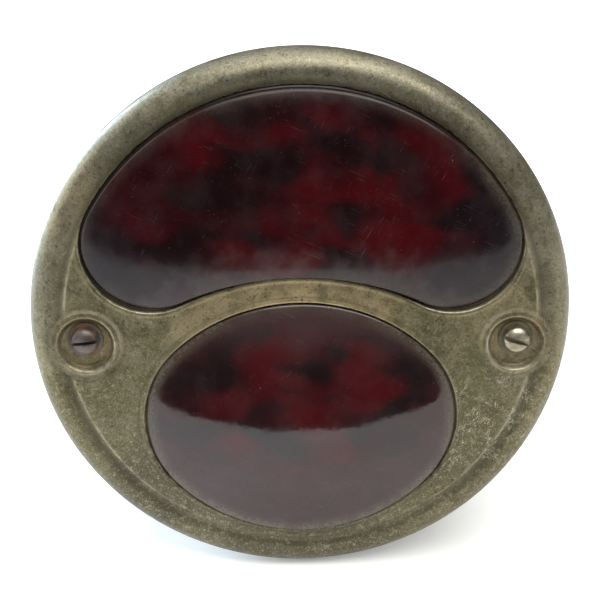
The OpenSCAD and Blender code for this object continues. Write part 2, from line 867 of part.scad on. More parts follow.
drum_shell();
stud_plate();
mounting_studs();
connector_shell();
connector_insert();
connector_contacts();
socket_plate();
plate_posts();
plate_screws();
light_divider();
divider_rivets();
screw_lugs();
lug_rivets();
plate_window();
window_frame();
window_rivets();
stop_lead();
tail_lead();
stop_socket();
tail_socket();
stop_socket_washer();
tail_socket_washer();
stop_contact_spring();
tail_contact_spring();
stop_contact_disc();
tail_contact_disc();
stop_contact_button();
tail_contact_button();
stop_bulb_base();
tail_bulb_base();
stop_bulb_insulator();
tail_bulb_insulator();
stop_bulb_glass();
tail_bulb_glass();
stop_bulb_stem();
tail_bulb_stem();
stop_filament();
tail_filament();
lens_door();
stop_lens();
tail_lens();
stop_lens_gasket();
tail_lens_gasket();
lens_retainer();
retainer_posts();
retainer_screws();
door_gasket();
left_door_screw();
right_door_screw();
left_screw_washer();
right_screw_washer();
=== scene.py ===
"""Looks of a two-lens drum stop and tail lamp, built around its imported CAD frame.

Shapes are made lying on their back, in millimetres, as (across, up, forward), and world() stands
them up in the frame's metres: forward becomes -Y and up becomes +Z.
"""
import json
from math import acos, asin, atan2, cos, degrees, dist, hypot, pi, radians, sin, sqrt

import bmesh
import bpy
import numpy as np
from mathutils import Matrix, Vector, noise
from mathutils.geometry import delaunay_2d_cdt

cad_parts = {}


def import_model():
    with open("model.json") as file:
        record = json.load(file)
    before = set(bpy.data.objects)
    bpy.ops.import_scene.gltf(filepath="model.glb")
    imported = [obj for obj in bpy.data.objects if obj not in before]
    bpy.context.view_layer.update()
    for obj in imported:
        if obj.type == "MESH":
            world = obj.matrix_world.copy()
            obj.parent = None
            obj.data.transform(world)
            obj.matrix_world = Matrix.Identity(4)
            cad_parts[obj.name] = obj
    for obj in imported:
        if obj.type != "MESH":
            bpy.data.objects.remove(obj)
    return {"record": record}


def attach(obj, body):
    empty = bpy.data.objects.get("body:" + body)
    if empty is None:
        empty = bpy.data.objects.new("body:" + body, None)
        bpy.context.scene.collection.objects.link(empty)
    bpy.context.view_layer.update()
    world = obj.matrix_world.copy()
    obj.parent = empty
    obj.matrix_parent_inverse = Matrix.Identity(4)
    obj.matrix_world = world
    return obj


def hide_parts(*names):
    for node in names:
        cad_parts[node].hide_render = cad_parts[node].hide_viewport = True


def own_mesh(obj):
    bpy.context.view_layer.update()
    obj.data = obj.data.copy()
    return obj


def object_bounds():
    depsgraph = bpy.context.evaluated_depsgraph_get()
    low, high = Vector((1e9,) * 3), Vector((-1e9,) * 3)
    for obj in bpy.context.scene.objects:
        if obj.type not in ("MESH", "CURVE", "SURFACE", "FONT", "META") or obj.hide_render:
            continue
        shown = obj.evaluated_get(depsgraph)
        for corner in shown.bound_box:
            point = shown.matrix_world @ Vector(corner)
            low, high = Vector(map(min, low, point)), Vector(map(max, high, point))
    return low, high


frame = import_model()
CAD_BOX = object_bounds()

MM = 0.001

# Camera, in millimetres and degrees
AIM = Vector((-0.294, -57.0, 3.9))
CAMERA_DISTANCE = 230.0
CAMERA_AZIMUTH = -1.808
CAMERA_ELEVATION = 18.162
CAMERA_ROLL = 0.378
CAMERA_LENS = 68.95

# Heights forward of the mounting face
SHEET = 0.8
WIDEST_H = 57.0
PANEL_H = 62.0
PANEL_BACK_H = 61.2
FLANGE_H = 59.2
RETAINER_FRONT_H = 58.0
RETAINER_H = 57.2
PLATE_H = 11.0
PLATE_FRONT_H = 11.8
STUD_PLATE_FRONT_H = 2.4
INSERT_BACK_H = -1.0

# Drum
DRUM_R = 47.0
DRUM_INNER_R = 46.2

# Door section: an oval bead round a raised plateau
DOOR_R = 53.97
BEAD_R = 49.6
BEAD_A = DOOR_R - BEAD_R
BEAD_B = PANEL_H - WIDEST_H
SHELF_R = 47.9
SHELF_H = WIDEST_H + BEAD_B * sqrt(1 - ((SHELF_R - BEAD_R) / BEAD_A) ** 2)
PLATEAU_R = 46.9
FIELD_R = 52.3
RING_H = 0.2

# Openings
LOBE = (29.6, 16.4)
LOBE_R = 13.5
WAIST = (0.0, -40.85)
OUTER_R = hypot(*LOBE) + LOBE_R
INNER_R = hypot(LOBE[0], LOBE[1] - WAIST[1]) - LOBE_R
OVAL_X = 11.6
OVAL_R = 20.0
OVAL_ARC_Y = 11.97
OVAL_Y = -19.8
OVAL_LONG_R = hypot(OVAL_X, OVAL_ARC_Y) + OVAL_R
STOP_GAP = 0.65
TAIL_GAP = 0.32
LENS_FLANGE = 1.4
GASKET_IN = 2.2

# Door screws and their dimples
SCREW = (42.8, -3.0)
DIMPLE = (42.7, -3.9)
DIMPLE_R = 4.8
DIMPLE_FLOOR_H = 60.5
DIMPLE_SLOPE = 1.35
DIMPLE_SHELF_R = 7.1
SEAT_H = 60.9
SCREW_R = 1.75
LUG_FRONT_H = 54.0
LUG_BACK_H = 46.0

# Bulbs
STOP_Y = 27.0
BASE_R = 7.5
BULB_H = 15.2
SOCKET_BORE_R = 7.8
SOCKET_R = 8.5
SOCKET_FLOOR_H = 5.8
WASHER_FRONT_H = 7.3
PIN_SLOT_H = 17.15
TWIST = 25.0

# Spots that several pieces share
POST_SPOTS = [(33, 10), (-33, 10), (30, -24), (-30, -24)]
RETAINER_SPOTS = [(32.5, -0.8), (-32.5, -0.8), (38.5, -16), (-38.5, -16)]
FOOT_X = 14.0
FOOT_Y = 1.5
STUD_X = 19.05
STUD_R = 3.175
STUD_OUT = 19.0
CONNECTOR_R = 7.0
CONTACT_X = 2.8
SCREW_PITCH = 25.4 / 32
STUD_PITCH = 25.4 / 20
RIVET_R = 1.3
RIVET_HEAD_R = 2.3

RECORD = frame["record"]
BODY_OF = {n: b for b, ns in RECORD["behaviour"]["bodies"].items() for n in ns}


# ---------------- forms

def world(points):
    """Local millimetres to frame metres."""
    p = np.asarray(points, float)
    return np.stack([p[:, 0], -p[:, 2], p[:, 1]], axis=1) * MM


class Form:
    """Vertices and faces of one piece, gathered from several closed parts."""

    def __init__(self):
        self.verts = []
        self.faces = []

    def add(self, verts, faces, place=None):
        base = len(self.verts)
        for v in verts:
            self.verts.append(tuple(place @ Vector(v)) if place else tuple(float(c) for c in v))
        self.faces.extend(tuple(base + i for i in f) for f in faces)
        return base


def shift(x=0.0, y=0.0, h=0.0):
    return Matrix.Translation((x, y, h))


def spin(angle):
    return Matrix.Rotation(radians(angle), 4, "Z")


def radial(angle, h):
    """Placement whose own forward axis points out along the radius at an angle."""
    return spin(angle) @ shift(0, 0, h) @ Matrix.Rotation(radians(90), 4, "Y")


def mesh_object(name, form, sharp=35.0, weld=0.002):
    """A smooth-shaded object with outward normals and no stray faces."""
    mesh = bpy.data.meshes.new(name)
    mesh.from_pydata([tuple(p) for p in world(form.verts)], [], form.faces)
    bm = bmesh.new()
    bm.from_mesh(mesh)
    bmesh.ops.remove_doubles(bm, verts=bm.verts, dist=weld * MM)
    bmesh.ops.dissolve_degenerate(bm, edges=bm.edges, dist=1e-8)
    bmesh.ops.recalc_face_normals(bm, faces=bm.faces)
    bm.to_mesh(mesh)
    bm.free()
    obj = bpy.data.objects.new(name, mesh)
    bpy.context.scene.collection.objects.link(obj)
    shade(obj, sharp)
    return obj


def shade(obj, sharp=35.0):
    mesh = obj.data
    mesh.polygons.foreach_set("use_smooth", [True] * len(mesh.polygons))
    mesh.set_sharp_from_angle(angle=radians(sharp))


def apply_modifiers(obj):
    depsgraph = bpy.context.evaluated_depsgraph_get()
    mesh = bpy.data.meshes.new_from_object(obj.evaluated_get(depsgraph))
    obj.modifiers.clear()
    obj.data = mesh


def cut(obj, *cutters, soften=0.0):
    """Cuts forms out of an object, and rounds the sharp edges that are left."""
    for i, form in enumerate(cutters):
        tool = mesh_object("cutter", form)
        step = obj.modifiers.new("cut%d" % i, "BOOLEAN")
        step.object = tool
        step.operation = "DIFFERENCE"
        step.solver = "EXACT"
        bpy.context.view_layer.update()
        apply_modifiers(obj)
        bpy.data.objects.remove(tool)
    if soften:
        round_edges(obj, soften)
    shade(obj)


def round_edges(obj, width, angle=40.0):
    step = obj.modifiers.new("round", "BEVEL")
    step.width = width * MM
    step.segments = 2
    step.limit_method = "ANGLE"
    step.angle_limit = radians(angle)
    step.harden_normals = False
    apply_modifiers(obj)
    shade(obj)


def finish_piece(obj, node, material):
    """Gives a piece its named material and body, and lets it stand for its CAD node."""
    obj.data.materials.clear()
    obj.data.materials.append(MATERIALS[material])
    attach(obj, BODY_OF[node])
    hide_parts(node)
    return obj


def build(node, form, material, sharp=35.0):
    return finish_piece(mesh_object(node + "_look", form, sharp), node, material)


def ring_faces(low, high):
    """Quads between two closed rings of vertex numbers."""
    n = len(low)
    return [(low[k], low[(k + 1) % n], high[(k + 1) % n], high[k]) for k in range(n)]


def rod_faces(tiers, sides):
    """Quads along a stack of rings, with a cap at each end."""
    rings = [range(i * sides, (i + 1) * sides) for i in range(tiers)]
    faces = [f for low, high in zip(rings, rings[1:]) for f in ring_faces(low, high)]
    return faces + [tuple(rings[0])[::-1], tuple(rings[-1])]


def build_cut(node, form, material, *cutters, soften=0.0):
    obj = mesh_object(node + "_look", form)
    cut(obj, *cutters, soften=soften)
    return finish_piece(obj, node, material)


def turned(node, material, profile, sides, *places):
    """A piece that is one turned profile, at one place or more."""
    form = Form()
    for place in places or (None,):
        lathe(form, profile, sides, place)
    return build(node, form, material)


def flat_piece(node, material, outline, holes, from_h, to_h, rounding=0.12):
    """A piece that is one plate."""
    form = Form()
    plate(form, outline, holes, from_h, to_h, rounding)
    return build(node, form, material)


def slotted_screws(node, spots, h, profile, sides, first_turn, turn, slot):
    """Screws of one profile at several spots, each with its slot turned differently."""
    form = Form()
    for x, y in spots:
        lathe(form, profile, sides, shift(x, y, h))
    slots = [box_form(*slot, shift(x, y, h) @ Matrix.Rotation(first_turn + turn * i, 4, "Z"))
             for i, (x, y) in enumerate(spots)]
    build_cut(node, form, "bright_steel", *slots)


# ---------------- profiles

def fillet(points, radius, steps=3):
    """Rounds the corners of a closed (radius, height) profile, but not those on the axis."""
    out = []
    count = len(points)
    for i in range(count):
        p = Vector(points[i])
        a = Vector(points[i - 1]) - p
        b = Vector(points[(i + 1) % count]) - p
        if p.x < 1e-6 or a.length < 1e-6 or b.length < 1e-6:
            out.append(tuple(p))
            continue
        r = min(radius, 0.45 * a.length, 0.45 * b.length)
        start = p + a.normalized() * r
        end = p + b.normalized() * r
        for k in range(steps + 1):
            t = k / steps
            out.append(tuple(start * (1 - t) ** 2 + p * (2 * t * (1 - t)) + end * t ** 2))
    return out


def lathe(form, profile, sides=64, place=None, phase=0.0):
    """Turns a closed profile of (radius, height) points about the forward axis."""
    count = len(profile)
    verts = []
    for r, h in profile:
        for k in range(sides):
            a = 2 * pi * (k + phase) / sides
            verts.append((r * cos(a), r * sin(a), h))
    faces = []
    for i in range(count):
        n = (i + 1) % count
        if profile[i][0] < 1e-6 and profile[n][0] < 1e-6:
            continue
        faces += ring_faces(range(i * sides, (i + 1) * sides), range(n * sides, (n + 1) * sides))
    form.add(verts, faces, place)


def tube_profile(r_out, r_in, from_h, to_h, rounding=0.12):
    return fillet([(r_in, from_h), (r_out, from_h), (r_out, to_h), (r_in, to_h)], rounding)


def wire(form, path, radius, sides=12):
    """A round wire with rounded ends along a list of points."""
    path = [Vector(p) for p in path]
    rings = []
    side = None
    for i, p in enumerate(path):
        t = (path[min(i + 1, len(path) - 1)] - path[max(i - 1, 0)]).normalized()
        if side is None:
            side = t.orthogonal().normalized()
        side = (side - t * side.dot(t)).normalized()
        rings.append((p, t, side, t.cross(side)))
    verts = []
    tiers = [(0, -0.6, 0.55)] + [(i, 0.0, 1.0) for i in range(len(path))]
    tiers.append((len(path) - 1, 0.6, 0.55))
    for i, ahead, size in tiers:
        p, t, u, v = rings[i]
        for k in range(sides):
            a = 2 * pi * k / sides
            q = p + t * (ahead * radius * 0.6)
            q = q + (u * cos(a) + v * sin(a)) * (radius * size)
            verts.append(tuple(q))
    form.add(verts, rod_faces(len(tiers), sides))


def smooth_route(points, steps=6):
    """A smooth curve through given points."""
    pts = [Vector(p) for p in points]
    out = []
    for i in range(len(pts) - 1):
        a, b = pts[max(i - 1, 0)], pts[i]
        c, d = pts[i + 1], pts[min(i + 2, len(pts) - 1)]
        for s in range(steps):
            t = s / steps
            q = 2 * b + t * (c - a) + t * t * (2 * a - 5 * b + 4 * c - d)
            out.append((q + t ** 3 * (3 * b - a - 3 * c + d)) * 0.5)
    out.append(pts[-1])
    return out


def threaded_rod(form, radius, from_h, to_h, pitch, place, sides=40):
    """A rod with a helical thread, chamfered at its two ends."""
    depth = 0.54 * pitch
    tiers = int((to_h - from_h) / pitch * 8)
    verts = []
    for i in range(tiers + 1):
        h = from_h + (to_h - from_h) * i / tiers
        ends = min(h - from_h, to_h - h)
        for k in range(sides):
            turn = (h / pitch - k / sides) % 1.0
            groove = 1 - abs(2 * turn - 1)
            r = radius - depth * groove
            r = min(r, radius - depth + max(ends - 0.1, 0.0) * 0.9)
            a = 2 * pi * k / sides
            verts.append((r * cos(a), r * sin(a), h))
    form.add(verts, rod_faces(tiers + 1, sides), place)


def box_form(x0, x1, y0, y1, h0, h1, place=None):
    form = Form()
    verts = [(x, y, h) for h in (h0, h1) for y in (y0, y1) for x in (x0, x1)]
    faces = [(0, 2, 3, 1), (4, 5, 7, 6), (0, 1, 5, 4), (2, 6, 7, 3), (0, 4, 6, 2), (1, 3, 7, 5)]
    form.add(verts, faces, place)
    return form


def domed_rivet(form, place, from_h, to_h):
    """A rivet with a domed head behind and a pressed one in front."""
    profile = [(0, from_h - 0.78), (1.2, from_h - 0.68), (2.0, from_h - 0.35)]
    profile += [(RIVET_HEAD_R, from_h), (RIVET_R, from_h + 0.01), (RIVET_R, to_h - 0.01), (2.2, to_h)]
    profile += [(1.9, to_h + 0.4), (1.2, to_h + 0.7), (0, to_h + 0.78)]
    lathe(form, profile, 28, place)


# ---------------- outlines

def arc_points(cx, cy, r, from_a, to_a, count):
    a = np.radians(np.linspace(from_a, to_a, count, endpoint=False))
    return np.stack([cx + r * np.cos(a), cy + r * np.sin(a)], axis=1)


def kidney(grow=0.0, fine=1.0):
    """Counter-clockwise outline of the stop opening, with every arc grown by the same amount."""
    lean = degrees(atan2(LOBE[1], LOBE[0]))
    foot = degrees(atan2(LOBE[1] - WAIST[1], LOBE[0]))
    n = [int(c * fine) for c in (144, 50, 70)]
    return np.concatenate([
        arc_points(0, 0, OUTER_R + grow, lean, 180 - lean, n[0]),
        arc_points(-LOBE[0], LOBE[1], LOBE_R + grow, 180 - lean, 360 - foot, n[1]),
        arc_points(0, WAIST[1], INNER_R - grow, 180 - foot, foot, n[2]),
        arc_points(LOBE[0], LOBE[1], LOBE_R + grow, 180 + foot, 360 + lean, n[1])])


def oval(grow=0.0, fine=1.0):
    """Counter-clockwise outline of the tail opening, with every arc grown by the same amount."""
    lean = degrees(atan2(OVAL_ARC_Y, OVAL_X))
    n = [int(c * fine) for c in (46, 80)]
    return np.concatenate([
        arc_points(OVAL_X, OVAL_Y, OVAL_R + grow, -lean, lean, n[0]),
        arc_points(0, OVAL_Y - OVAL_ARC_Y, OVAL_LONG_R + grow, lean, 180 - lean, n[1]),
        arc_points(-OVAL_X, OVAL_Y, OVAL_R + grow, 180 - lean, 180 + lean, n[0]),
        arc_points(0, OVAL_Y + OVAL_ARC_Y, OVAL_LONG_R + grow, 180 + lean, 360 - lean, n[1])])


def circle(r, count, x=0.0, y=0.0):
    return arc_points(x, y, r, 0, 360, count)


def kidney_distance(x, y):
    """Distance outside the stop opening's edge, negative inside it."""
    x = np.abs(x)
    lobe = np.hypot(x - LOBE[0], y - LOBE[1]) - LOBE_R
    outer = np.hypot(x, y) - OUTER_R
    inner = INNER_R - np.hypot(x, y - WAIST[1])
    above = np.arctan2(y, x) >= atan2(LOBE[1], LOBE[0])
    below = np.arctan2(y - WAIST[1], x) >= atan2(LOBE[1] - WAIST[1], LOBE[0])
    return np.where(above & below, np.maximum(outer, inner),
                    np.where(above, outer, np.where(below, inner, lobe)))


def oval_distance(x, y):
    """Distance outside the tail opening's edge, negative inside it."""
    x = np.abs(x)
    y = np.abs(y - OVAL_Y)
    end = np.hypot(x - OVAL_X, y) - OVAL_R
    long_arc = np.hypot(x, y + OVAL_ARC_Y) - OVAL_LONG_R
    side = np.arctan2(y + OVAL_ARC_Y, x) >= atan2(OVAL_ARC_Y, OVAL_X)
    return np.where(side, long_arc, end)


class Points:
    """Flat points that keep a least distance from the ones already there."""

    def __init__(self):
        self.xy = []
        self.cells = {}

    def add(self, points, gap=0.0):
        first = len(self.xy)
        for x, y in points:
            cx, cy = int(x // 0.5), int(y // 0.5)
            near = False
            if gap:
                for i in range(cx - 1, cx + 2):
                    for j in range(cy - 1, cy + 2):
                        for qx, qy in self.cells.get((i, j), ()):
                            if (qx - x) ** 2 + (qy - y) ** 2 < gap * gap:
                                near = True
            if not near:
                self.cells.setdefault((cx, cy), []).append((x, y))
                self.xy.append((float(x), float(y)))
        return first


def lattice(half, step):
    """Points of a triangular lattice over a square."""
    rows = int(2 * half / (step * 0.866))
    out = []
    for j in range(rows + 1):
        y = -half + j * step * 0.866
        start = -half + (j % 2) * step / 2
        out.extend((x, y) for x in np.arange(start, half, step))
    return np.array(out)


def triangulate(points, loops, keep):
    """Triangles over flat points, with the loops as edges, where keep(x, y) is true."""
    edges = []
    for first, count in loops:
        edges.extend((first + k, first + (k + 1) % count) for k in range(count))
    result = delaunay_2d_cdt([Vector(p) for p in points.xy], edges, [], 0, 1e-7)
    verts, tris, origin = result[0], result[2], result[3]
    flat = np.array([tuple(v) for v in verts])
    where = {}
    for new, olds in enumerate(origin):
        for old in olds:
            where[old] = new
    tris = np.array([t for t in tris if len(t) == 3])
    middle = flat[tris].mean(axis=1)
    tris = tris[keep(middle[:, 0], middle[:, 1])]
    loops = [[where[first + k] for k in range(count)] for first, count in loops]
    return flat, tris, loops


def inset(loop, amount):
    """Moves a loop's points sideways, into the material of an outer counter-clockwise loop."""
    ahead = np.roll(loop, -1, axis=0) - np.roll(loop, 1, axis=0)
    ahead = ahead / np.maximum(np.linalg.norm(ahead, axis=1, keepdims=True), 1e-9)
    return loop + amount * np.stack([-ahead[:, 1], ahead[:, 0]], axis=1)


def inside(loop, x, y):
    """Whether flat points lie inside a closed loop."""
    result = np.zeros(len(x), bool)
    x1, y1 = loop[:, 0], loop[:, 1]
    x2, y2 = np.roll(x1, -1), np.roll(y1, -1)
    for a, b, c, d in zip(x1, y1, x2, y2):
        if b != d:
            crosses = ((b > y) != (d > y)) & (x < (c - a) * (y - b) / (d - b) + a)
            result ^= crosses
    return result


def plate(form, outer, holes, from_h, to_h, rounding=0.12):
    """A flat plate with holes and softened edges. Outer runs counter-clockwise, holes too."""
    loops = [np.asarray(outer, float)] + [np.asarray(h, float)[::-1] for h in holes]
    flat = Points()
    spans = []
    for loop in loops:
        spans.append((flat.add(inset(loop, rounding)), len(loop)))
    bounds = [inset(loop, rounding) for loop in loops]

    def keep(x, y):
        solid = inside(bounds[0], x, y)
        for hole in bounds[1:]:
            solid &= ~inside(hole, x, y)
        return solid
    points, tris, index = triangulate(flat, spans, keep)
    count = len(points)
    verts = [(x, y, from_h) for x, y in points] + [(x, y, to_h) for x, y in points]
    faces = [tuple(t[::-1]) for t in tris] + [tuple(t + count) for t in tris]
    tiers = [(0.29 * rounding, from_h + 0.29 * rounding), (0.0, from_h + rounding)]
    tiers += [(0.0, to_h - rounding), (0.29 * rounding, to_h - 0.29 * rounding)]
    for loop, ids in zip(loops, index):
        n = len(loop)
        rings = [list(ids)]
        for amount, h in tiers:
            start = len(verts)
            verts.extend((x, y, h) for x, y in inset(loop, amount))
            rings.append(list(range(start, start + n)))
        rings.append([count + i for i in ids])
        for low, high in zip(rings, rings[1:]):
            faces += ring_faces(low, high)
    form.add(verts, faces)


def clean_loop(points, least=0.02):
    out = []
    for p in points:
        if not out or dist(p, out[-1]) > least:
            out.append(tuple(p))
    if dist(out[0], out[-1]) < least:
        out.pop()
    return np.array(out)


# ---------------- lens door

def ripple(x, y, size, seed):
    """Smooth noise over flat points, from about -0.5 to 0.5."""
    return np.array([noise.noise(Vector((a / size, b / size, seed))) for a, b in zip(x, y)])


def dents(x, y):
    """Shallow knocks from years of use."""
    rng = np.random.default_rng(11)
    drop = np.zeros(len(x))
    for _ in range(46):
        a = rng.uniform(0, 2 * pi)
        r = 52 * sqrt(rng.uniform(0.05, 1))
        size = rng.uniform(0.5, 2.6)
        d2 = (x - r * cos(a)) ** 2 + (y - r * sin(a)) ** 2
        drop += rng.uniform(0.02, 0.07) * np.exp(-d2 / size ** 2)
    return drop


def plateau_edge(x, y):
    """Distance inside the raised plateau's crease, negative outside it."""
    hollow = np.hypot(np.abs(x) - DIMPLE[0], y - DIMPLE[1])
    return np.minimum(PLATEAU_R - np.hypot(x, y), hollow - DIMPLE_SHELF_R), hollow


def door_height(x, y):
    r = np.hypot(x, y)
    edge, hollow = plateau_edge(x, y)
    t = np.clip((r - BEAD_R) / BEAD_A, -1, 1)
    bead = WIDEST_H + BEAD_B * np.sqrt(1 - t * t)
    h = np.where(r > SHELF_R, bead, SHELF_H)
    k = np.clip((edge + 0.5) / 1.1, 0, 1)
    h = h + (PANEL_H - SHELF_H) * k * k * (3 - 2 * k) * np.clip((SHELF_R - r) / 0.3, 0, 1)
    wall = DIMPLE_FLOOR_H + np.maximum(hollow - DIMPLE_R, 0) * DIMPLE_SLOPE
    soft = 0.07
    h = -soft * np.logaddexp(-h / soft, -wall / soft)
    h = h + 0.13 * np.exp(-((hollow - 5.9) / 0.5) ** 2) * (r < 49.5)
    ring = oval_distance(x, y)
    h = h + RING_H * np.exp(-((ring - 0.5) / 0.42) ** 2)
    lip = kidney_distance(x, y)
    h = h + 0.10 * np.exp(-((lip - 0.55) / 0.35) ** 2)
    calm = np.clip((51.5 - r) / 3, 0, 1)
    h = h + calm * (0.13 * ripple(x, y, 13, 3.1) + 0.05 * ripple(x, y, 4.5, 7.7))
    h = h - dents(x, y) * np.clip((52.2 - r), 0, 1)
    for gap, rounding in ((ring, 0.3), (lip, 0.24)):
        near = np.clip(1 - gap / rounding, 0, 1)
        h = h - rounding * (1 - np.sqrt(1 - near * near))
    return h


def door_masks(x, y):
    """Where dirt and painted shade sit, and where the plating is rubbed bright or painted with
    highlights, from 0 to 1.
    """
    r = np.hypot(x, y)
    edge, hollow = plateau_edge(x, y)
    ring = oval_distance(x, y)
    lip = kidney_distance(x, y)
    crease = PLATEAU_R - r
    away = hollow > DIMPLE_SHELF_R + 0.2
    fade = np.clip((y + 44) / 14, 0.25, 1)
    # Dark band just outside the crease: painted shade of the shallow valley there, with some dirt;
    # weaker low down.
    dirt_and_shade = 0.62 * np.exp(-((crease + 0.9) / 0.75) ** 2) * (ring > 1.2) * away * fade
    # Darker rings round and inside the dimples: dirt, partly painted shade; then a dark line round the
    # tail opening.
    dirt_and_shade += 0.28 * np.exp(-((hollow - DIMPLE_SHELF_R - 0.5) / 0.6) ** 2)
    dirt_and_shade += 0.3 * np.exp(-((hollow - DIMPLE_R) / 0.5) ** 2)
    dirt_and_shade += 0.2 * np.exp(-((hollow - 6.7) / 0.35) ** 2)
    dirt_and_shade += 0.45 * np.exp(-((ring - 1.2) / 0.2) ** 2)
    # Pale line along the crease's top: rubbed plating, and a painted highlight on the step's edge.
    wear_and_glint = 0.5 * np.exp(-((crease - 0.25) / 0.22) ** 2) * away * fade
    wear_and_glint = np.maximum(wear_and_glint, 0.22 * np.exp(-((hollow - DIMPLE_SHELF_R + 0.2) / 0.3) ** 2))
    # Paler crescent on each dimple's ring, on the side towards the middle and below: a painted glint.
    inward = 0.6 * (DIMPLE[0] - np.abs(x)) - 0.8 * (y - DIMPLE[1])
    glint_side = np.clip(0.5 + 0.6 * inward / np.maximum(hollow, 0.1), 0, 1)
    wear_and_glint = np.maximum(wear_and_glint, (0.2 + 0.6 * glint_side) * np.exp(-((hollow - 5.75) / 0.38) ** 2))
    wear_and_glint = np.maximum(wear_and_glint, np.clip(1.25 - lip / 0.25, 0, 1))
    wear_and_glint = np.maximum(wear_and_glint, np.clip(1.1 - ring / 0.25, 0, 1))
    wear_and_glint = wear_and_glint * (r < 50)
    return np.clip(dirt_and_shade, 0, 1), np.clip(wear_and_glint, 0, 1)


def rim_profile():
    """The bead's outside, from the field's edge round to the skirt's end, as (radius, height)."""
    start = acos((FIELD_R - BEAD_R) / BEAD_A)
    out = []
    for k in range(1, 15):
        a = start * (1 - k / 14)
        out.append((BEAD_R + BEAD_A * cos(a), WIDEST_H + BEAD_B * sin(a)))
    for k in range(1, 8):
        a = radians(-35) * k / 7
        out.append((48.67 + 5.3 * cos(a), WIDEST_H + 5.3 * sin(a)))
    out += [(52.74, 52.95), (52.42, 52.0), (52.2, 51.4)]
    return out


def offset_profile(profile, amount):
    pts = np.array(profile)
    ahead = np.gradient(pts, axis=0)
    ahead /= np.linalg.norm(ahead, axis=1, keepdims=True)
    return pts + amount * np.stack([-ahead[:, 1], ahead[:, 0]], axis=1) * -1


def lens_door():
    """The pressed door: a plateau with two openings and two dimples inside a rolled bead."""
    flat = Points()
    rim_count = 432
    rim_first = flat.add(circle(FIELD_R, rim_count))
    kidney_first = flat.add(kidney())
    oval_first = flat.add(oval())
    hole_loops = []
    for side in (-1, 1):
        hole_loops.append((flat.add(circle(2.0, 40, side * SCREW[0], SCREW[1])), 40))
    for grow in (0.08, 0.16, 0.25, 0.36, 0.5, 0.7, 0.95, 1.25, 1.5, 1.75, 1.95, 2.15, 2.5, 3.0):
        for outline in (kidney(grow), oval(grow)):
            far = np.hypot(outline[:, 0], outline[:, 1]) < FIELD_R - 0.3
            clear = np.minimum(kidney_distance(*outline.T), oval_distance(*outline.T))
            flat.add(outline[far & (clear > grow - 0.02)], 0.06)
    for r in (2.4, 3.2, 4.0, 4.6, 4.9, 5.1, 5.3, 5.5, 5.7, 5.9, 6.1, 6.3, 6.5, 6.8, 7.2, 7.45,
              7.6, 7.68, 7.8, 7.95, 8.15, 8.5):
        for side in (-1, 1):
            ring = circle(r, 64, side * DIMPLE[0], DIMPLE[1])
            ok = np.hypot(ring[:, 0], ring[:, 1]) < FIELD_R - 0.3
            ok &= np.minimum(kidney_distance(*ring.T), oval_distance(*ring.T)) > 0.3
            ok &= np.hypot(np.abs(ring[:, 0]) - SCREW[0], ring[:, 1] - SCREW[1]) > 2.2
            flat.add(ring[ok], 0.06)
    for r in (46.0, 46.35, 46.55, 46.7, 46.82, 46.9, 47.0, 47.15, 47.4, 47.7, 48.1, 48.6, 49.1,
              49.6, 50.1, 50.6, 51.1, 51.5, 51.9):
        ring = circle(r, rim_count)
        ok = np.minimum(kidney_distance(*ring.T), oval_distance(*ring.T)) > 0.12
        flat.add(ring[ok], 0.1)
    grid = lattice(52, 0.8)
    ok = (np.hypot(*grid.T) < 51.8)
    ok &= np.minimum(kidney_distance(*grid.T), oval_distance(*grid.T)) > 0.4
    ok &= np.hypot(np.abs(grid[:, 0]) - SCREW[0], grid[:, 1] - SCREW[1]) > 2.4
    flat.add(grid[ok], 0.42)
    loops = [(rim_first, rim_count), (kidney_first, len(kidney())), (oval_first, len(oval()))]
    loops += hole_loops

    def keep(x, y):
        hole = np.hypot(np.abs(x) - SCREW[0], y - SCREW[1]) > 1.99
        gap = np.minimum(kidney_distance(x, y), oval_distance(x, y))
        return (gap > -0.002) & hole & (np.hypot(x, y) < FIELD_R)
    points, tris, loops = triangulate(flat, loops, keep)
    x, y = points.T
    r = np.hypot(x, y)
    front = door_height(x, y)
    t = np.clip((r - BEAD_R) / BEAD_A, -1, 1)
    slope = np.where(r > BEAD_R, BEAD_B / BEAD_A * t / np.sqrt(np.maximum(1 - t * t, 1e-6)), 0)
    tilt = np.arctan(slope)
    out = -SHEET * np.sin(tilt) / np.maximum(r, 1e-6)
    count = len(points)
    verts = [tuple(v) for v in np.stack([x, y, front], axis=1)]
    back = np.stack([x + out * x, y + out * y, front - SHEET * np.cos(tilt)], axis=1)
    verts += [tuple(v) for v in back]
    faces = [tuple(f) for f in tris] + [tuple(f[::-1] + count) for f in tris]
    for loop in loops[1:]:
        faces += ring_faces(loop, [i + count for i in loop])
    outer = rim_profile()
    inner = [tuple(p) for p in offset_profile(outer, SHEET)][::-1]
    end = [(51.95, 51.2), (51.62, 51.22)]
    ring_before = list(loops[0])
    angles = np.radians(np.linspace(0, 360, rim_count, endpoint=False))
    for pr, ph in outer + end + inner:
        start = len(verts)
        verts += [(pr * cos(a), pr * sin(a), ph) for a in angles]
        ring = range(start, start + rim_count)
        faces += ring_faces(ring_before, ring)
        ring_before = ring
    faces += ring_faces(ring_before, [i + count for i in loops[0]])
    form = Form()
    form.add(verts, faces)
    obj = mesh_object("lens_door_look", form, 50, weld=0.0005)
    local = np.array([v.co for v in obj.data.vertices]) / MM
    dirt_and_shade, wear_and_glint = door_masks(local[:, 0], local[:, 2])
    seen = -local[:, 1] > door_height(local[:, 0], local[:, 2]) - 0.4
    store(obj, "dirt_and_shade", dirt_and_shade * seen)
    store(obj, "wear_and_glint", wear_and_glint * seen)
    return finish_piece(obj, "lens_door", "door")


def store(obj, name, values):
    attribute = obj.data.attributes.new(name, "FLOAT", "POINT")
    attribute.data.foreach_set("value", np.asarray(values, np.float32))


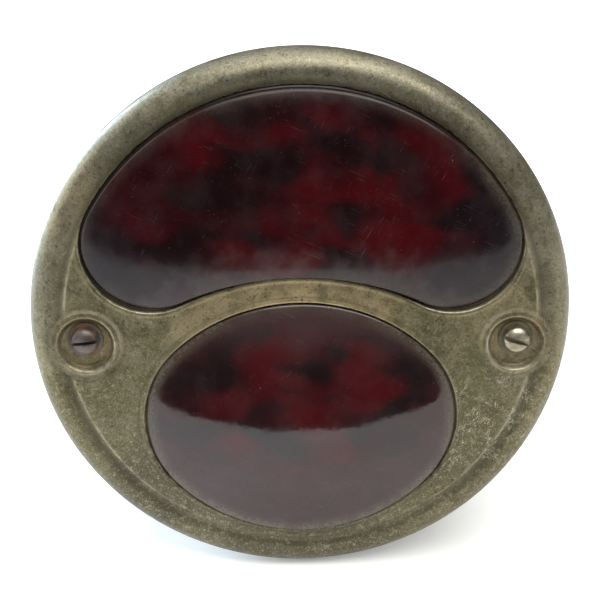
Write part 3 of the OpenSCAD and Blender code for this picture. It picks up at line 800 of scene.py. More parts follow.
# ---------------- lenses and what holds them

def stop_dome(x, y):
    return 66.05 - 3.0 * (x / 42) ** 2 - 2.75 * ((y - 25) / 20) ** 2


def tail_dome(x, y):
    return 65.45 - 3.7 * (x / 31) ** 2 - 2.4 * ((y + 23.5) / 24) ** 2


def dome_patch(outline, distance, grow, height, step):
    """Flat points, triangles and edge loop of one side of a glass."""
    flat = Points()
    edge = outline(grow)
    first = flat.add(edge)
    for depth in (0.15, 0.35, 0.6, 0.9, 1.2, 1.5, 1.9):
        flat.add(outline(grow - depth), 0.1)
    grid = lattice(50, step)
    flat.add(grid[distance(*grid.T) < grow - 2.2], 0.4)

    def keep(x, y):
        return distance(x, y) < grow + 0.002
    points, tris, loops = triangulate(flat, [(first, len(edge))], keep)
    x, y = points.T
    return points, tris, loops[0], height(x, y)


def lens(node, outline, distance, gap, dome, material):
    """Pressed glass: a flange behind the panel, a shouldered dome, and soft flutes inside."""
    def front(x, y):
        deep = -gap - distance(x, y)
        shoulder = np.clip(1 - deep / 0.4, 0, 1)
        settle = np.clip(1 - deep / 4, 0, 1)
        wave = 0.05 * ripple(x, y, 9, 5.5)
        drop = 0.22 * (1 - np.sqrt(1 - shoulder ** 2 * 0.96))
        return dome(x, y) - drop - 0.15 * settle ** 2 + wave

    def back(x, y):
        flute = 0.22 * np.cos(2 * pi * x / 2.4)
        return dome(x, y) - 3.2 + flute
    verts = []
    faces = []
    points, tris, top, h = dome_patch(outline, distance, -gap, front, 0.95)
    verts += [(x, y, z) for (x, y), z in zip(points, h)]
    faces += [tuple(t) for t in tris]
    tiers = [(-gap, 61.3), (-gap + 0.2, 61.1), (LENS_FLANGE - 0.2, 61.1)]
    tiers += [(LENS_FLANGE, 60.9), (LENS_FLANGE, FLANGE_H + 0.2)]
    tiers += [(LENS_FLANGE - 0.2, FLANGE_H + 0.02), (-3.3, FLANGE_H + 0.02), (-3.5, FLANGE_H + 0.3)]
    before = top
    for grow, height in tiers:
        start = len(verts)
        loop = outline(grow)
        verts += [(x, y, height) for x, y in loop]
        ring = range(start, start + len(loop))
        faces += ring_faces(before, ring)
        before = ring
    points, tris, under, h = dome_patch(outline, distance, -3.5, back, 1.2)
    start = len(verts)
    verts += [(x, y, z) for (x, y), z in zip(points, h)]
    faces += [tuple(t[::-1] + start) for t in tris]
    faces += ring_faces(before, [i + start for i in under])
    form = Form()
    form.add(verts, faces)
    obj = mesh_object(node + "_look", form, 55, weld=0.0005)
    local = np.array([v.co for v in obj.data.vertices]) / MM
    deep = -gap - distance(local[:, 0], local[:, 2])
    store(obj, "shoulder", np.clip(1.15 - deep / 2.1, 0, 1))
    return finish_piece(obj, node, material)


def lens_fittings():
    for node, outline in (("stop_lens_gasket", kidney), ("tail_lens_gasket", oval)):
        flat_piece(node, "cork", outline(LENS_FLANGE), [outline(-GASKET_IN)],
                   RETAINER_FRONT_H, FLANGE_H, 0.2)
    holes = [kidney(-GASKET_IN), oval(-GASKET_IN)]
    holes += [circle(3, 32, side * SCREW[0], SCREW[1]) for side in (-1, 1)]
    holes += [circle(1.15, 20, x, y) for x, y in RETAINER_SPOTS]
    flat_piece("lens_retainer", "zinc", circle(OUTER_R + 1.2, 180), holes,
               RETAINER_H, RETAINER_FRONT_H)
    post = tube_profile(2.1, 1.1, RETAINER_FRONT_H, PANEL_BACK_H - 0.05, 0.1)
    turned("retainer_posts", "dull_nickel", post, 28, *(shift(x, y) for x, y in RETAINER_SPOTS))
    screw = [(0, -1), (1.4, -0.97), (1.8, -0.6), (1.9, -0.05), (1.0, 0), (1.0, 3.3), (0, 3.4)]
    slotted_screws("retainer_screws", RETAINER_SPOTS, RETAINER_H, screw, 28, 0.7, 1.3,
                   (-3, 3, -0.26, 0.26, -2, -0.5))
    gasket = [(49.05, 58.15), (51.1, 58.15), (51.15, 59.6), (50.4, 60.6), (49.05, 61.2)]
    form = Form()
    lathe(form, fillet(gasket, 0.25), 192)
    tools = []
    for side in (-1, 1):
        tool = Form()
        lathe(tool, [(0, 55), (6.1, 55), (6.1, 59.6), (9.5, 62.1), (0, 62.1)], 48,
              shift(side * DIMPLE[0], DIMPLE[1]))
        tools.append(tool)
    build_cut("door_gasket", form, "cork", *tools)


def door_screw(node, side, slot_angle, slot_w, material):
    """Slotted fillister-head screw with a domed head and a real thread."""
    place = shift(side * SCREW[0], SCREW[1])
    under = SEAT_H + 0.02
    head = [(0, under), (2.55, under), (2.7, SEAT_H + 0.15), (2.7, SEAT_H + 0.95)]
    head += [(2.63, SEAT_H + 1.25), (2.4, SEAT_H + 1.6), (2.0, SEAT_H + 1.88)]
    head += [(1.4, SEAT_H + 2.12), (0.7, SEAT_H + 2.26), (0, SEAT_H + 2.3)]
    form = Form()
    lathe(form, head, 64, place)
    obj = mesh_object(node + "_look", form)
    turn = place @ spin(slot_angle)
    cut(obj, box_form(-4, 4, -slot_w / 2, slot_w / 2, SEAT_H + 1.1, SEAT_H + 4, turn), soften=0.07)
    shank = Form()
    threaded_rod(shank, SCREW_R - 0.02, LUG_BACK_H + 0.5, SEAT_H - 0.5, SCREW_PITCH, place)
    lathe(shank, [(0, SEAT_H - 0.7), (1.4, SEAT_H - 0.7), (1.45, SEAT_H - 0.4), (1.7, SEAT_H + 0.1),
                  (0, SEAT_H + 0.1)], 32, place)
    rod = mesh_object("rod", shank)
    join(obj, rod)
    return finish_piece(obj, node, material)


def join(obj, other):
    """Puts another object's mesh into this one."""
    bm = bmesh.new()
    bm.from_mesh(obj.data)
    bm.from_mesh(other.data)
    bm.to_mesh(obj.data)
    bm.free()
    bpy.data.objects.remove(other)
    shade(obj)


def screw_washers():
    for node, side in (("left_screw_washer", -1), ("right_screw_washer", 1)):
        turned(node, "rusty" if side < 0 else "dull_nickel",
               tube_profile(3.5, SCREW_R + 0.1, DIMPLE_FLOOR_H, SEAT_H), 64,
               shift(side * SCREW[0], SCREW[1]))


# ---------------- drum and its fittings

def drum_shell():
    """Pressed drum with a rounded rear corner, a stepped mouth and a rolled edge."""
    outer = [(8.3, 0.0)]
    outer += [(r, 0.0) for r in (15, 25, 35, 43)]
    for k in range(1, 9):
        a = radians(-90 + 90 * k / 8)
        outer.append((43 + 4 * cos(a), 4 + 4 * sin(a)))
    outer += [(DRUM_R, 12), (DRUM_R, 30), (DRUM_R, 45), (DRUM_R, 48.4), (47.15, 49.2)]
    outer += [(48.6, 50.4), (50.0, 51.6), (50.65, 52.3), (50.9, 53.0), (50.9, 56), (50.9, 57.4)]
    inner = [tuple(p) for p in offset_profile(outer, -SHEET)]
    inner = [(max(p[0], 8.3), p[1]) for p in inner]
    inner[0] = (8.3, SHEET)
    mouth = [(50.85, 57.75), (50.6, 57.98), (50.35, 57.98), (50.15, 57.8)]
    form = Form()
    lathe(form, outer + mouth + inner[::-1], 224)
    tools = [box_form(-16, 16, -DRUM_R - 1, -30, 20, 40)]
    for side in (-1, 1):
        hole = Form()
        lathe(hole, [(0, -1), (3.3, -1), (3.3, 3), (0, 3)], 40, shift(side * STUD_X))
        tools.append(hole)
    build_cut("drum_shell", form, "drum", *tools)


def stud_plate():
    left = arc_points(-STUD_X, 0, 10, 90, 270, 40)
    right = arc_points(STUD_X, 0, 10, -90, 90, 40)
    reach = sqrt(13 ** 2 - 10 ** 2)
    lean = degrees(asin(10 / 13))
    bottom = arc_points(0, 0, 13, 180 + lean, 360 - lean, 26)
    top = arc_points(0, 0, 13, lean, 180 - lean, 26)
    outline = clean_loop(np.concatenate([left, [(-STUD_X, -10), (-reach, -10)], bottom,
                                         [(reach, -10), (STUD_X, -10)], right,
                                         [(STUD_X, 10), (reach, 10)], top,
                                         [(-reach, 10), (-STUD_X, 10)]]))
    holes = [circle(3.3, 36, side * STUD_X) for side in (-1, 1)] + [circle(8.3, 56)]
    flat_piece("stud_plate", "zinc", outline, holes, SHEET, STUD_PLATE_FRONT_H, 0.2)


def mounting_studs():
    form = Form()
    for side in (-1, 1):
        place = shift(side * STUD_X)
        threaded_rod(form, STUD_R, -STUD_OUT, -1.0, STUD_PITCH, place, 48)
        lathe(form, [(0, -1.3), (2.6, -1.3), (3.1, -0.9), (3.15, STUD_PLATE_FRONT_H),
                     (0, STUD_PLATE_FRONT_H)], 40, place)
        head = fillet([(0, STUD_PLATE_FRONT_H), (6.4, STUD_PLATE_FRONT_H), (6.4, 6.0), (5.5, 6.4),
                       (0, 6.4)], 0.25)
        lathe(form, head, 6, place)
    build("mounting_studs", form, "stud", 30)


def connector():
    wall_r = CONNECTOR_R + 1.2
    flange_h = STUD_PLATE_FRONT_H
    profile = [(CONNECTOR_R, -12), (wall_r, -12)]
    for h in (-10.6, -9.2):
        profile += [(wall_r, h - 0.35), (wall_r + 0.12, h), (wall_r, h + 0.35)]
    profile += [(wall_r, flange_h), (CONNECTOR_R + 2.6, flange_h)]
    profile += [(CONNECTOR_R + 2.6, flange_h + SHEET), (CONNECTOR_R + 0.4, flange_h + SHEET)]
    profile += [(CONNECTOR_R + 0.4, INSERT_BACK_H), (CONNECTOR_R, INSERT_BACK_H)]
    form = Form()
    lathe(form, fillet(profile, 0.18), 96)
    tools = []
    for turn in (0, 180):
        place = spin(turn)
        tools.append(box_form(CONNECTOR_R - 1, CONNECTOR_R + 3, -1.2, 1.2, -13, -7, place))
        tools.append(box_form(CONNECTOR_R - 1, CONNECTOR_R + 3, -1.2, 3.6, -9, -6.6, place))
    build_cut("connector_shell", form, "old_brass", *tools)
    holes = [circle(1.25, 28, x) for x in (-CONTACT_X, CONTACT_X)]
    flat_piece("connector_insert", "fibre", circle(CONNECTOR_R + 0.33, 80), holes,
               INSERT_BACK_H, 3.0, 0.2)
    top = INSERT_BACK_H + STUD_PLATE_FRONT_H + 2.8
    pin = [(0, INSERT_BACK_H + 0.02), (0.9, INSERT_BACK_H + 0.06), (1.2, INSERT_BACK_H + 0.35)]
    pin += [(1.2, top - 0.3), (0.9, top), (0, top)]
    turned("connector_contacts", "bright_brass", pin, 28, shift(-CONTACT_X), shift(CONTACT_X))


def socket_plate():
    holes = [circle(SOCKET_R + 0.1, 72, 0, y) for y in (STOP_Y, OVAL_Y)]
    holes += [circle(1.7, 24, x, y) for x, y in POST_SPOTS]
    holes += [circle(RIVET_R + 0.1, 24, side * FOOT_X, FOOT_Y) for side in (-1, 1)]
    flat_piece("socket_plate", "tin", circle(DRUM_INNER_R - 1.4, 200), holes, PLATE_H, PLATE_FRONT_H)
    post = tube_profile(3.2, 1.6, SHEET, PLATE_H, 0.2)
    turned("plate_posts", "zinc", post, 36, *(shift(x, y) for x, y in POST_SPOTS))
    head = [(0, -8), (1.4, -8), (1.5, -7.8), (1.5, -0.01), (2.9, 0), (3.0, 0.25), (2.8, 0.9)]
    head += [(2.2, 1.45), (1.2, 1.68), (0, 1.7)]
    slotted_screws("plate_screws", POST_SPOTS, PLATE_FRONT_H, head, 40, 0.4, 1,
                   (-4, 4, -0.4, 0.4, 1.0, 3.0))


def curved_strip(form, centre, r_in, r_out, from_a, to_a, from_h, to_h, count=90, rounding=0.1):
    """Part of a ring between two angles, as a plate."""
    outer = arc_points(centre[0], centre[1], r_out, from_a, to_a, count)
    end = arc_points(centre[0], centre[1], r_out, to_a, to_a + 1, 1)
    inner = arc_points(centre[0], centre[1], r_in, to_a, from_a, count)
    last = arc_points(centre[0], centre[1], r_in, from_a, from_a + 1, 1)
    plate(form, np.concatenate([outer, end, inner, last]), [], from_h, to_h, rounding)


def light_divider():
    mid = hypot(LOBE[0], LOBE[1] - WAIST[1]) - LOBE_R - 2.25
    reach = DRUM_INNER_R - 0.15
    drop = -WAIST[1]
    up = max((mid ** 2 - reach ** 2 - drop ** 2) / (2 * drop), -24.9)
    angle = degrees(atan2(up + drop, sqrt(reach ** 2 - up ** 2)))
    form = Form()
    curved_strip(form, WAIST, mid - SHEET / 2, mid + SHEET / 2, angle, 180 - angle,
                 PLATE_FRONT_H, RETAINER_H - 0.3, 120, 0.15)
    for side in (-1, 1):
        x0, x1 = side * FOOT_X - 5, side * FOOT_X + 5
        xs = np.linspace(x1, x0, 14)
        top = np.stack([xs, WAIST[1] + np.sqrt((mid - 0.1) ** 2 - xs ** 2)], axis=1)
        outline = np.concatenate([[(x0, -2.5), (x1, -2.5)], top])
        plate(form, outline, [circle(1.4, 24, side * FOOT_X, FOOT_Y)],
              PLATE_FRONT_H, PLATE_FRONT_H + SHEET)
    build("light_divider", form, "tin")
    form = Form()
    for side in (-1, 1):
        domed_rivet(form, shift(side * FOOT_X, FOOT_Y), PLATE_H, PLATE_H + 2 * SHEET)
    build("divider_rivets", form, "rivet")


def screw_lugs():
    """Tapped bosses on curved feet that are riveted to the drum's wall."""
    form = Form()
    foot_r = DRUM_INNER_R - 0.05
    for side in (-1, 1):
        turn = shift(side * SCREW[0], SCREW[1])
        lathe(form, tube_profile(3.2, 1.83, LUG_BACK_H, LUG_FRONT_H, 0.2), 48, turn)
        low = -15.2 if side > 0 else 172.5
        curved_strip(form, (0, 0), foot_r - 1, foot_r, low, low + 22.7, LUG_BACK_H - 8,
                     LUG_BACK_H + 3, 24, 0.15)
        bridge = box_form(SCREW[0] + 1.9, SCREW[0] + 2.75, SCREW[1] - 1.9, SCREW[1] + 1.9,
                          LUG_BACK_H + 0.05, LUG_BACK_H + 2.9)
        form.add([(side * x, y, h) for x, y, h in bridge.verts], bridge.faces)
    build("screw_lugs", form, "zinc")
    form = Form()
    for a in (-11.5, 4.0):
        for b in (a, 180 - a):
            domed_rivet(form, radial(b, LUG_BACK_H - 4), DRUM_INNER_R - 1, DRUM_R)
    build("lug_rivets", form, "rivet")


def plate_window():
    glass_r = DRUM_INNER_R - 0.05
    lean = degrees(asin(20 / glass_r))
    form = Form()
    curved_strip(form, (0, 0), glass_r - 1.8, glass_r, 270 - lean, 270 + lean, 16, 44, 60, 0.2)
    build("plate_window", form, "clear_glass")
    frame_r = DRUM_INNER_R - 1.9
    wide = degrees(asin(30 / frame_r))
    form = Form()
    curved_strip(form, (0, 0), frame_r - SHEET, frame_r, 270 - wide, 270 + wide, 16, 44, 80, 0.12)
    obj = mesh_object("window_frame_look", form)
    cut(obj, box_form(-16, 16, -DRUM_R, -30, 20, 40))
    spacer = Form()
    inner = degrees(asin(20.4 / frame_r))
    for a, b in ((270 - wide, 270 - inner), (270 + inner, 270 + wide)):
        curved_strip(spacer, (0, 0), frame_r - 0.02, glass_r, a, b, 16, 44, 24, 0.12)
    join(obj, mesh_object("spacer", spacer))
    finish_piece(obj, "window_frame", "zinc")
    form = Form()
    for h in (21, 39):
        for side in (-1, 1):
            domed_rivet(form, radial(-90 + side * 33, h), frame_r - SHEET, DRUM_R)
    build("window_rivets", form, "rivet")


# ---------------- wires, sockets and bulbs

STOP_ROUTE = [(2.8, 0, 4.5), (2.8, 0, 5.3), (2.8, 1, 6.3), (2.5, 4, 6.9), (2, 8.5, 6.1),
              (1, 14, 4.1), (0.3, 19, 2.7), (0, 23.5, 2.5), (0, 26.2, 3.4), (0, 27, 5), (0, 27, 7)]
TAIL_ROUTE = [(-2.8, 0, 4.5), (-2.8, 0, 5.3), (-2.8, -1, 6.3), (-2.5, -4, 6.9), (-1.9, -7.6, 6.4),
              (-1.4, -10.3, 4.25), (-0.9, -12.6, 3.6), (-0.3, -16, 3.6), (0, -18.5, 3.6), (0, -19.8, 5),
              (0, -19.8, 7)]


def leads():
    for node, route, look in (("stop_lead", STOP_ROUTE, "red_wire"),
                              ("tail_lead", TAIL_ROUTE, "black_wire")):
        form = Form()
        wire(form, smooth_route(route), 0.98, 14)
        build(node, form, look)


def ring_sector(place, r0, r1, from_a, to_a, h0, h1):
    form = Form()
    verts = []
    count = 10
    for h in (h0, h1):
        for r in (r0, r1):
            for k in range(count + 1):
                a = radians(from_a + (to_a - from_a) * k / count)
                verts.append((r * cos(a), r * sin(a), h))
    n = count + 1
    faces = []
    for k in range(count):
        faces.append((k, k + 1, n + k + 1, n + k))
        faces.append((2 * n + k, 3 * n + k, 3 * n + k + 1, 2 * n + k + 1))
        faces.append((k, 2 * n + k, 2 * n + k + 1, k + 1))
        faces.append((n + k, n + k + 1, 3 * n + k + 1, 3 * n + k))
    faces.append((0, n, 3 * n, 2 * n))
    faces.append((count, 2 * n + count, 3 * n + count, n + count))
    form.add(verts, faces, place)
    return form


def socket(node, y):
    """Bayonet socket: a flanged tube with two L-shaped slots for the bulb's pins."""
    profile = [(5, 5), (SOCKET_R, 5), (SOCKET_R, PLATE_FRONT_H), (12.5, PLATE_FRONT_H)]
    profile += [(12.5, PLATE_FRONT_H + SHEET), (SOCKET_R, PLATE_FRONT_H + SHEET), (SOCKET_R, 24.5)]
    profile += [(SOCKET_BORE_R, 24.5), (SOCKET_BORE_R, SOCKET_FLOOR_H), (5, SOCKET_FLOOR_H)]
    form = Form()
    place = shift(0, y)
    lathe(form, fillet(profile, 0.15), 96, place)
    tools = []
    for turn in (0, 180):
        turned_place = place @ spin(turn + TWIST)
        tools.append(box_form(BASE_R - 1, BASE_R + 3, -1.25, 1.25, PIN_SLOT_H, 37, turned_place))
        tools.append(ring_sector(place, BASE_R - 1, BASE_R + 3, turn - 9, turn + TWIST + 9,
                                 PIN_SLOT_H, 21.6))
    build_cut(node, form, "old_brass", *tools)


def coil_path(steps, turns, point):
    """Points of a coil: point(t, cos, sin) places one at the share t of its length."""
    path = []
    for k in range(steps + 1):
        a = 2 * pi * turns * k / steps
        path.append(point(k / steps, cos(a), sin(a)))
    return path


def contact_parts(prefix, y):
    """Fibre washer, coil spring, fibre disc and brass button."""
    place = shift(0, y)
    washer = tube_profile(SOCKET_BORE_R - 0.1, 1.35, SOCKET_FLOOR_H, WASHER_FRONT_H, 0.15)
    turned(prefix + "_socket_washer", "fibre", washer, 72, place)
    form = Form()
    wire(form, coil_path(150, 3, lambda t, c, s: (4.8 * c, y + 4.8 * s, 7.75 + 4.0 * t)), 0.42, 10)
    spring = build(prefix + "_contact_spring", form, "spring")
    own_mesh(spring)
    disc = fillet([(0, 12.2), (BASE_R, 12.2), (BASE_R, 14.2), (0, 14.2)], 0.25)
    turned(prefix + "_contact_disc", "fibre", disc, 72, place)
    cap = [(0, 14.2), (2.4, 14.2), (2.4, 14.75), (2.1, 15.05), (1.3, 15.17), (0, BULB_H)]
    turned(prefix + "_contact_button", "bright_brass", cap, 40, place)


def bulb(prefix, y, glass_r, tip_h, reach):
    """Bayonet bulb: brass base with two pins, insulator, blown glass, stem and filament."""
    place = shift(0, y)
    form = Form()
    shell = [(7.0, 17.25), (7.4, 17.2), (BASE_R, 17.4), (BASE_R, 28.7), (7.36, 28.95)]
    shell += [(BASE_R, 29.2), (BASE_R, 29.9), (7.4, 30.0), (7.0, 30.0)]
    lathe(form, shell, 80, place)
    for turn in (0, 180):
        pin = place @ spin(turn) @ radial(0, 20.4)
        lathe(form, [(0, 7.3), (1, 7.3), (1, 9.0), (0.85, 9.25), (0, 9.3)], 24, pin)
    build(prefix + "_bulb_base", form, "bulb_brass")
    plug = [(0, BULB_H), (1.6, BULB_H + 0.02), (2.4, BULB_H + 0.35), (2.7, 16.1), (3.4, 16.25)]
    plug += [(5.4, 16.9), (6.7, 17.6), (6.9, 18.0), (6.9, 19.2), (0, 19.2)]
    turned(prefix + "_bulb_insulator", "black_glass", plug, 64, place)
    centre_h = tip_h - glass_r
    glass = envelope(glass_r, centre_h, 0.0) + envelope(glass_r, centre_h, 0.7)[::-1]
    turned(prefix + "_bulb_glass", "bulb_glass", glass, 72, place)
    stem = [(0, 24), (5.5, 24), (4.6, 25.2), (3.2, 27.4), (2.2, 29.0), (2.0, 30), (2.0, 32.6)]
    stem += [(1.6, 33.0), (0, 33.0)]
    turned(prefix + "_bulb_stem", "bulb_glass", stem, 48, place)
    form = Form()
    for side in (-1, 1):
        wire(form, [(0.4 * side, y, 33.0), (side * reach * 0.5, y, 33 + 0.5 * (centre_h - 33)),
                    (side * reach, y, centre_h)], 0.28, 10)
    coil = coil_path(180, 12, lambda t, c, s: (reach * (2 * t - 1), y + 0.24 * c,
                                               centre_h + 0.24 * s))
    wire(form, coil, 0.09, 6)
    build(prefix + "_filament", form, "tungsten")


def envelope(glass_r, centre_h, thick):
    """Half section of the blown glass, from the neck's open end to the tip."""
    neck = 6.9 - thick
    r = glass_r - thick
    out = [(neck, 21.9), (neck, 28), (neck, 31.2)]
    lean = acos(0.8)
    join_r, join_h = r * cos(lean), centre_h - r * sin(lean)
    for k in range(1, 6):
        t = k / 6
        out.append((neck + (join_r - neck) * (t * t * (3 - 2 * t)), 31.5 + (join_h - 31.5) * t))
    for k in range(19):
        a = -lean + (pi / 2 + lean) * k / 18
        out.append((max(r * cos(a), 0.0), centre_h + r * sin(a)))
    out[-1] = (0.0, centre_h + r)
    return out


# ---------------- materials

class Shader:
    """A node material with millimetre coordinates and short names for common nodes."""

    def __init__(self, name):
        self.material = bpy.data.materials.new(name)
        self.material.use_nodes = True
        self.nodes = self.material.node_tree.nodes
        self.links = self.material.node_tree.links
        self.nodes.clear()
        self.output = self.nodes.new("ShaderNodeOutputMaterial")
        self.surface = self.nodes.new("ShaderNodeBsdfPrincipled")
        self.links.new(self.surface.outputs[0], self.output.inputs["Surface"])
        source = self.node("TexCoord")
        scale = self.nodes.new("ShaderNodeVectorMath")
        scale.operation = "SCALE"
        scale.inputs["Scale"].default_value = 1 / MM
        self.links.new(source.outputs["Object"], scale.inputs[0])
        self.mm = scale.outputs[0]

    def put(self, socket, value):
        """Sets an input from a number, a colour or another node's output."""
        if isinstance(value, bpy.types.NodeSocket):
            self.links.new(value, socket)
        elif isinstance(value, (tuple, list)) and len(value) == 3 and socket.type == "RGBA":
            socket.default_value = (*value, 1)
        else:
            socket.default_value = value

    def node(self, kind, **inputs):
        """A new node with the given inputs."""
        node = self.nodes.new("ShaderNode" + kind)
        for name, value in inputs.items():
            self.put(node.inputs[name.replace("_", " ")], value)
        return node

    def stretch(self, turn=(0, 0, 0), scale=(1, 1, 1), move=(0, 0, 0)):
        turn = [radians(a) for a in turn]
        node = self.node("Mapping", Vector=self.mm, Rotation=turn, Scale=scale, Location=move)
        node.vector_type = "TEXTURE"
        return node.outputs[0]

    def noise(self, size, detail=3.0, rough=0.55, vector=None, warp=0.0):
        return self.node("TexNoise", Vector=vector or self.mm, Scale=1.0 / size, Detail=detail,
                         Roughness=rough, Distortion=warp).outputs["Fac"]

    def cells(self, size, vector=None):
        node = self.node("TexVoronoi", Vector=vector or self.mm, Scale=1.0 / size)
        return node.outputs["Distance"]

    def ramp(self, value, low, high, out_low=0.0, out_high=1.0):
        node = self.node("MapRange", Value=value, From_Min=low, From_Max=high, To_Min=out_low,
                         To_Max=out_high)
        node.interpolation_type = "SMOOTHSTEP"
        return node.outputs["Result"]

    def math(self, operation, a, b=0.0):
        node = self.nodes.new("ShaderNodeMath")
        node.operation = operation
        self.put(node.inputs[0], a)
        self.put(node.inputs[1], b)
        return node.outputs[0]

    def times(self, a, b):
        return self.math("MULTIPLY", a, b)

    def plus(self, a, b):
        return self.math("ADD", a, b)

    def minus(self, a, b):
        return self.math("SUBTRACT", a, b)

    def most(self, a, b):
        return self.math("MAXIMUM", a, b)

    def mix(self, amount, a, b):
        node = self.nodes.new("ShaderNodeMix")
        node.data_type = "RGBA"
        self.put(node.inputs["Factor"], amount)
        self.put(node.inputs["A"], a)
        self.put(node.inputs["B"], b)
        return node.outputs["Result"]

    def attribute(self, name):
        node = self.nodes.new("ShaderNodeAttribute")
        node.attribute_name = name
        return node.outputs["Fac"]

    def axis(self, name):
        return self.node("SeparateXYZ", Vector=self.mm).outputs[name]

    def bump(self, height, distance, strength=1.0, before=None):
        node = self.node("Bump", Strength=strength, Distance=distance * MM, Height=height)
        if before:
            self.links.new(before, node.inputs["Normal"])
        return node.outputs[0]

    def finish(self, **inputs):
        for name, value in inputs.items():
            self.put(self.surface.inputs[name.replace("_", " ")], value)
        return self.material


def spot_mask(s, x, z, size, soft):
    """A round soft patch at a place on the lamp's face, from 0 to 1."""
    dx = s.minus(s.axis("X"), x)
    dz = s.minus(s.axis("Z"), z)
    d = s.math("SQRT", s.plus(s.times(dx, dx), s.times(dz, dz)))
    wobble = s.times(s.minus(s.noise(4, 3), 0.5), soft * 1.3)
    return s.ramp(s.plus(d, wobble), size, size + soft, 1, 0)


def scratches(s, turn, length, width, low, seed):
    """Thin straight lines along one direction, from 0 to 1."""
    vector = s.stretch(turn, (length, 1, width), (seed, seed * 2, seed))
    line = s.noise(1.0, 1.0, 0.4, vector)
    broken = s.ramp(s.noise(7, 2, 0.5, s.stretch(move=(seed, 0, 5))), 0.45, 0.65)
    return s.times(s.ramp(line, low, low + 0.05), broken)


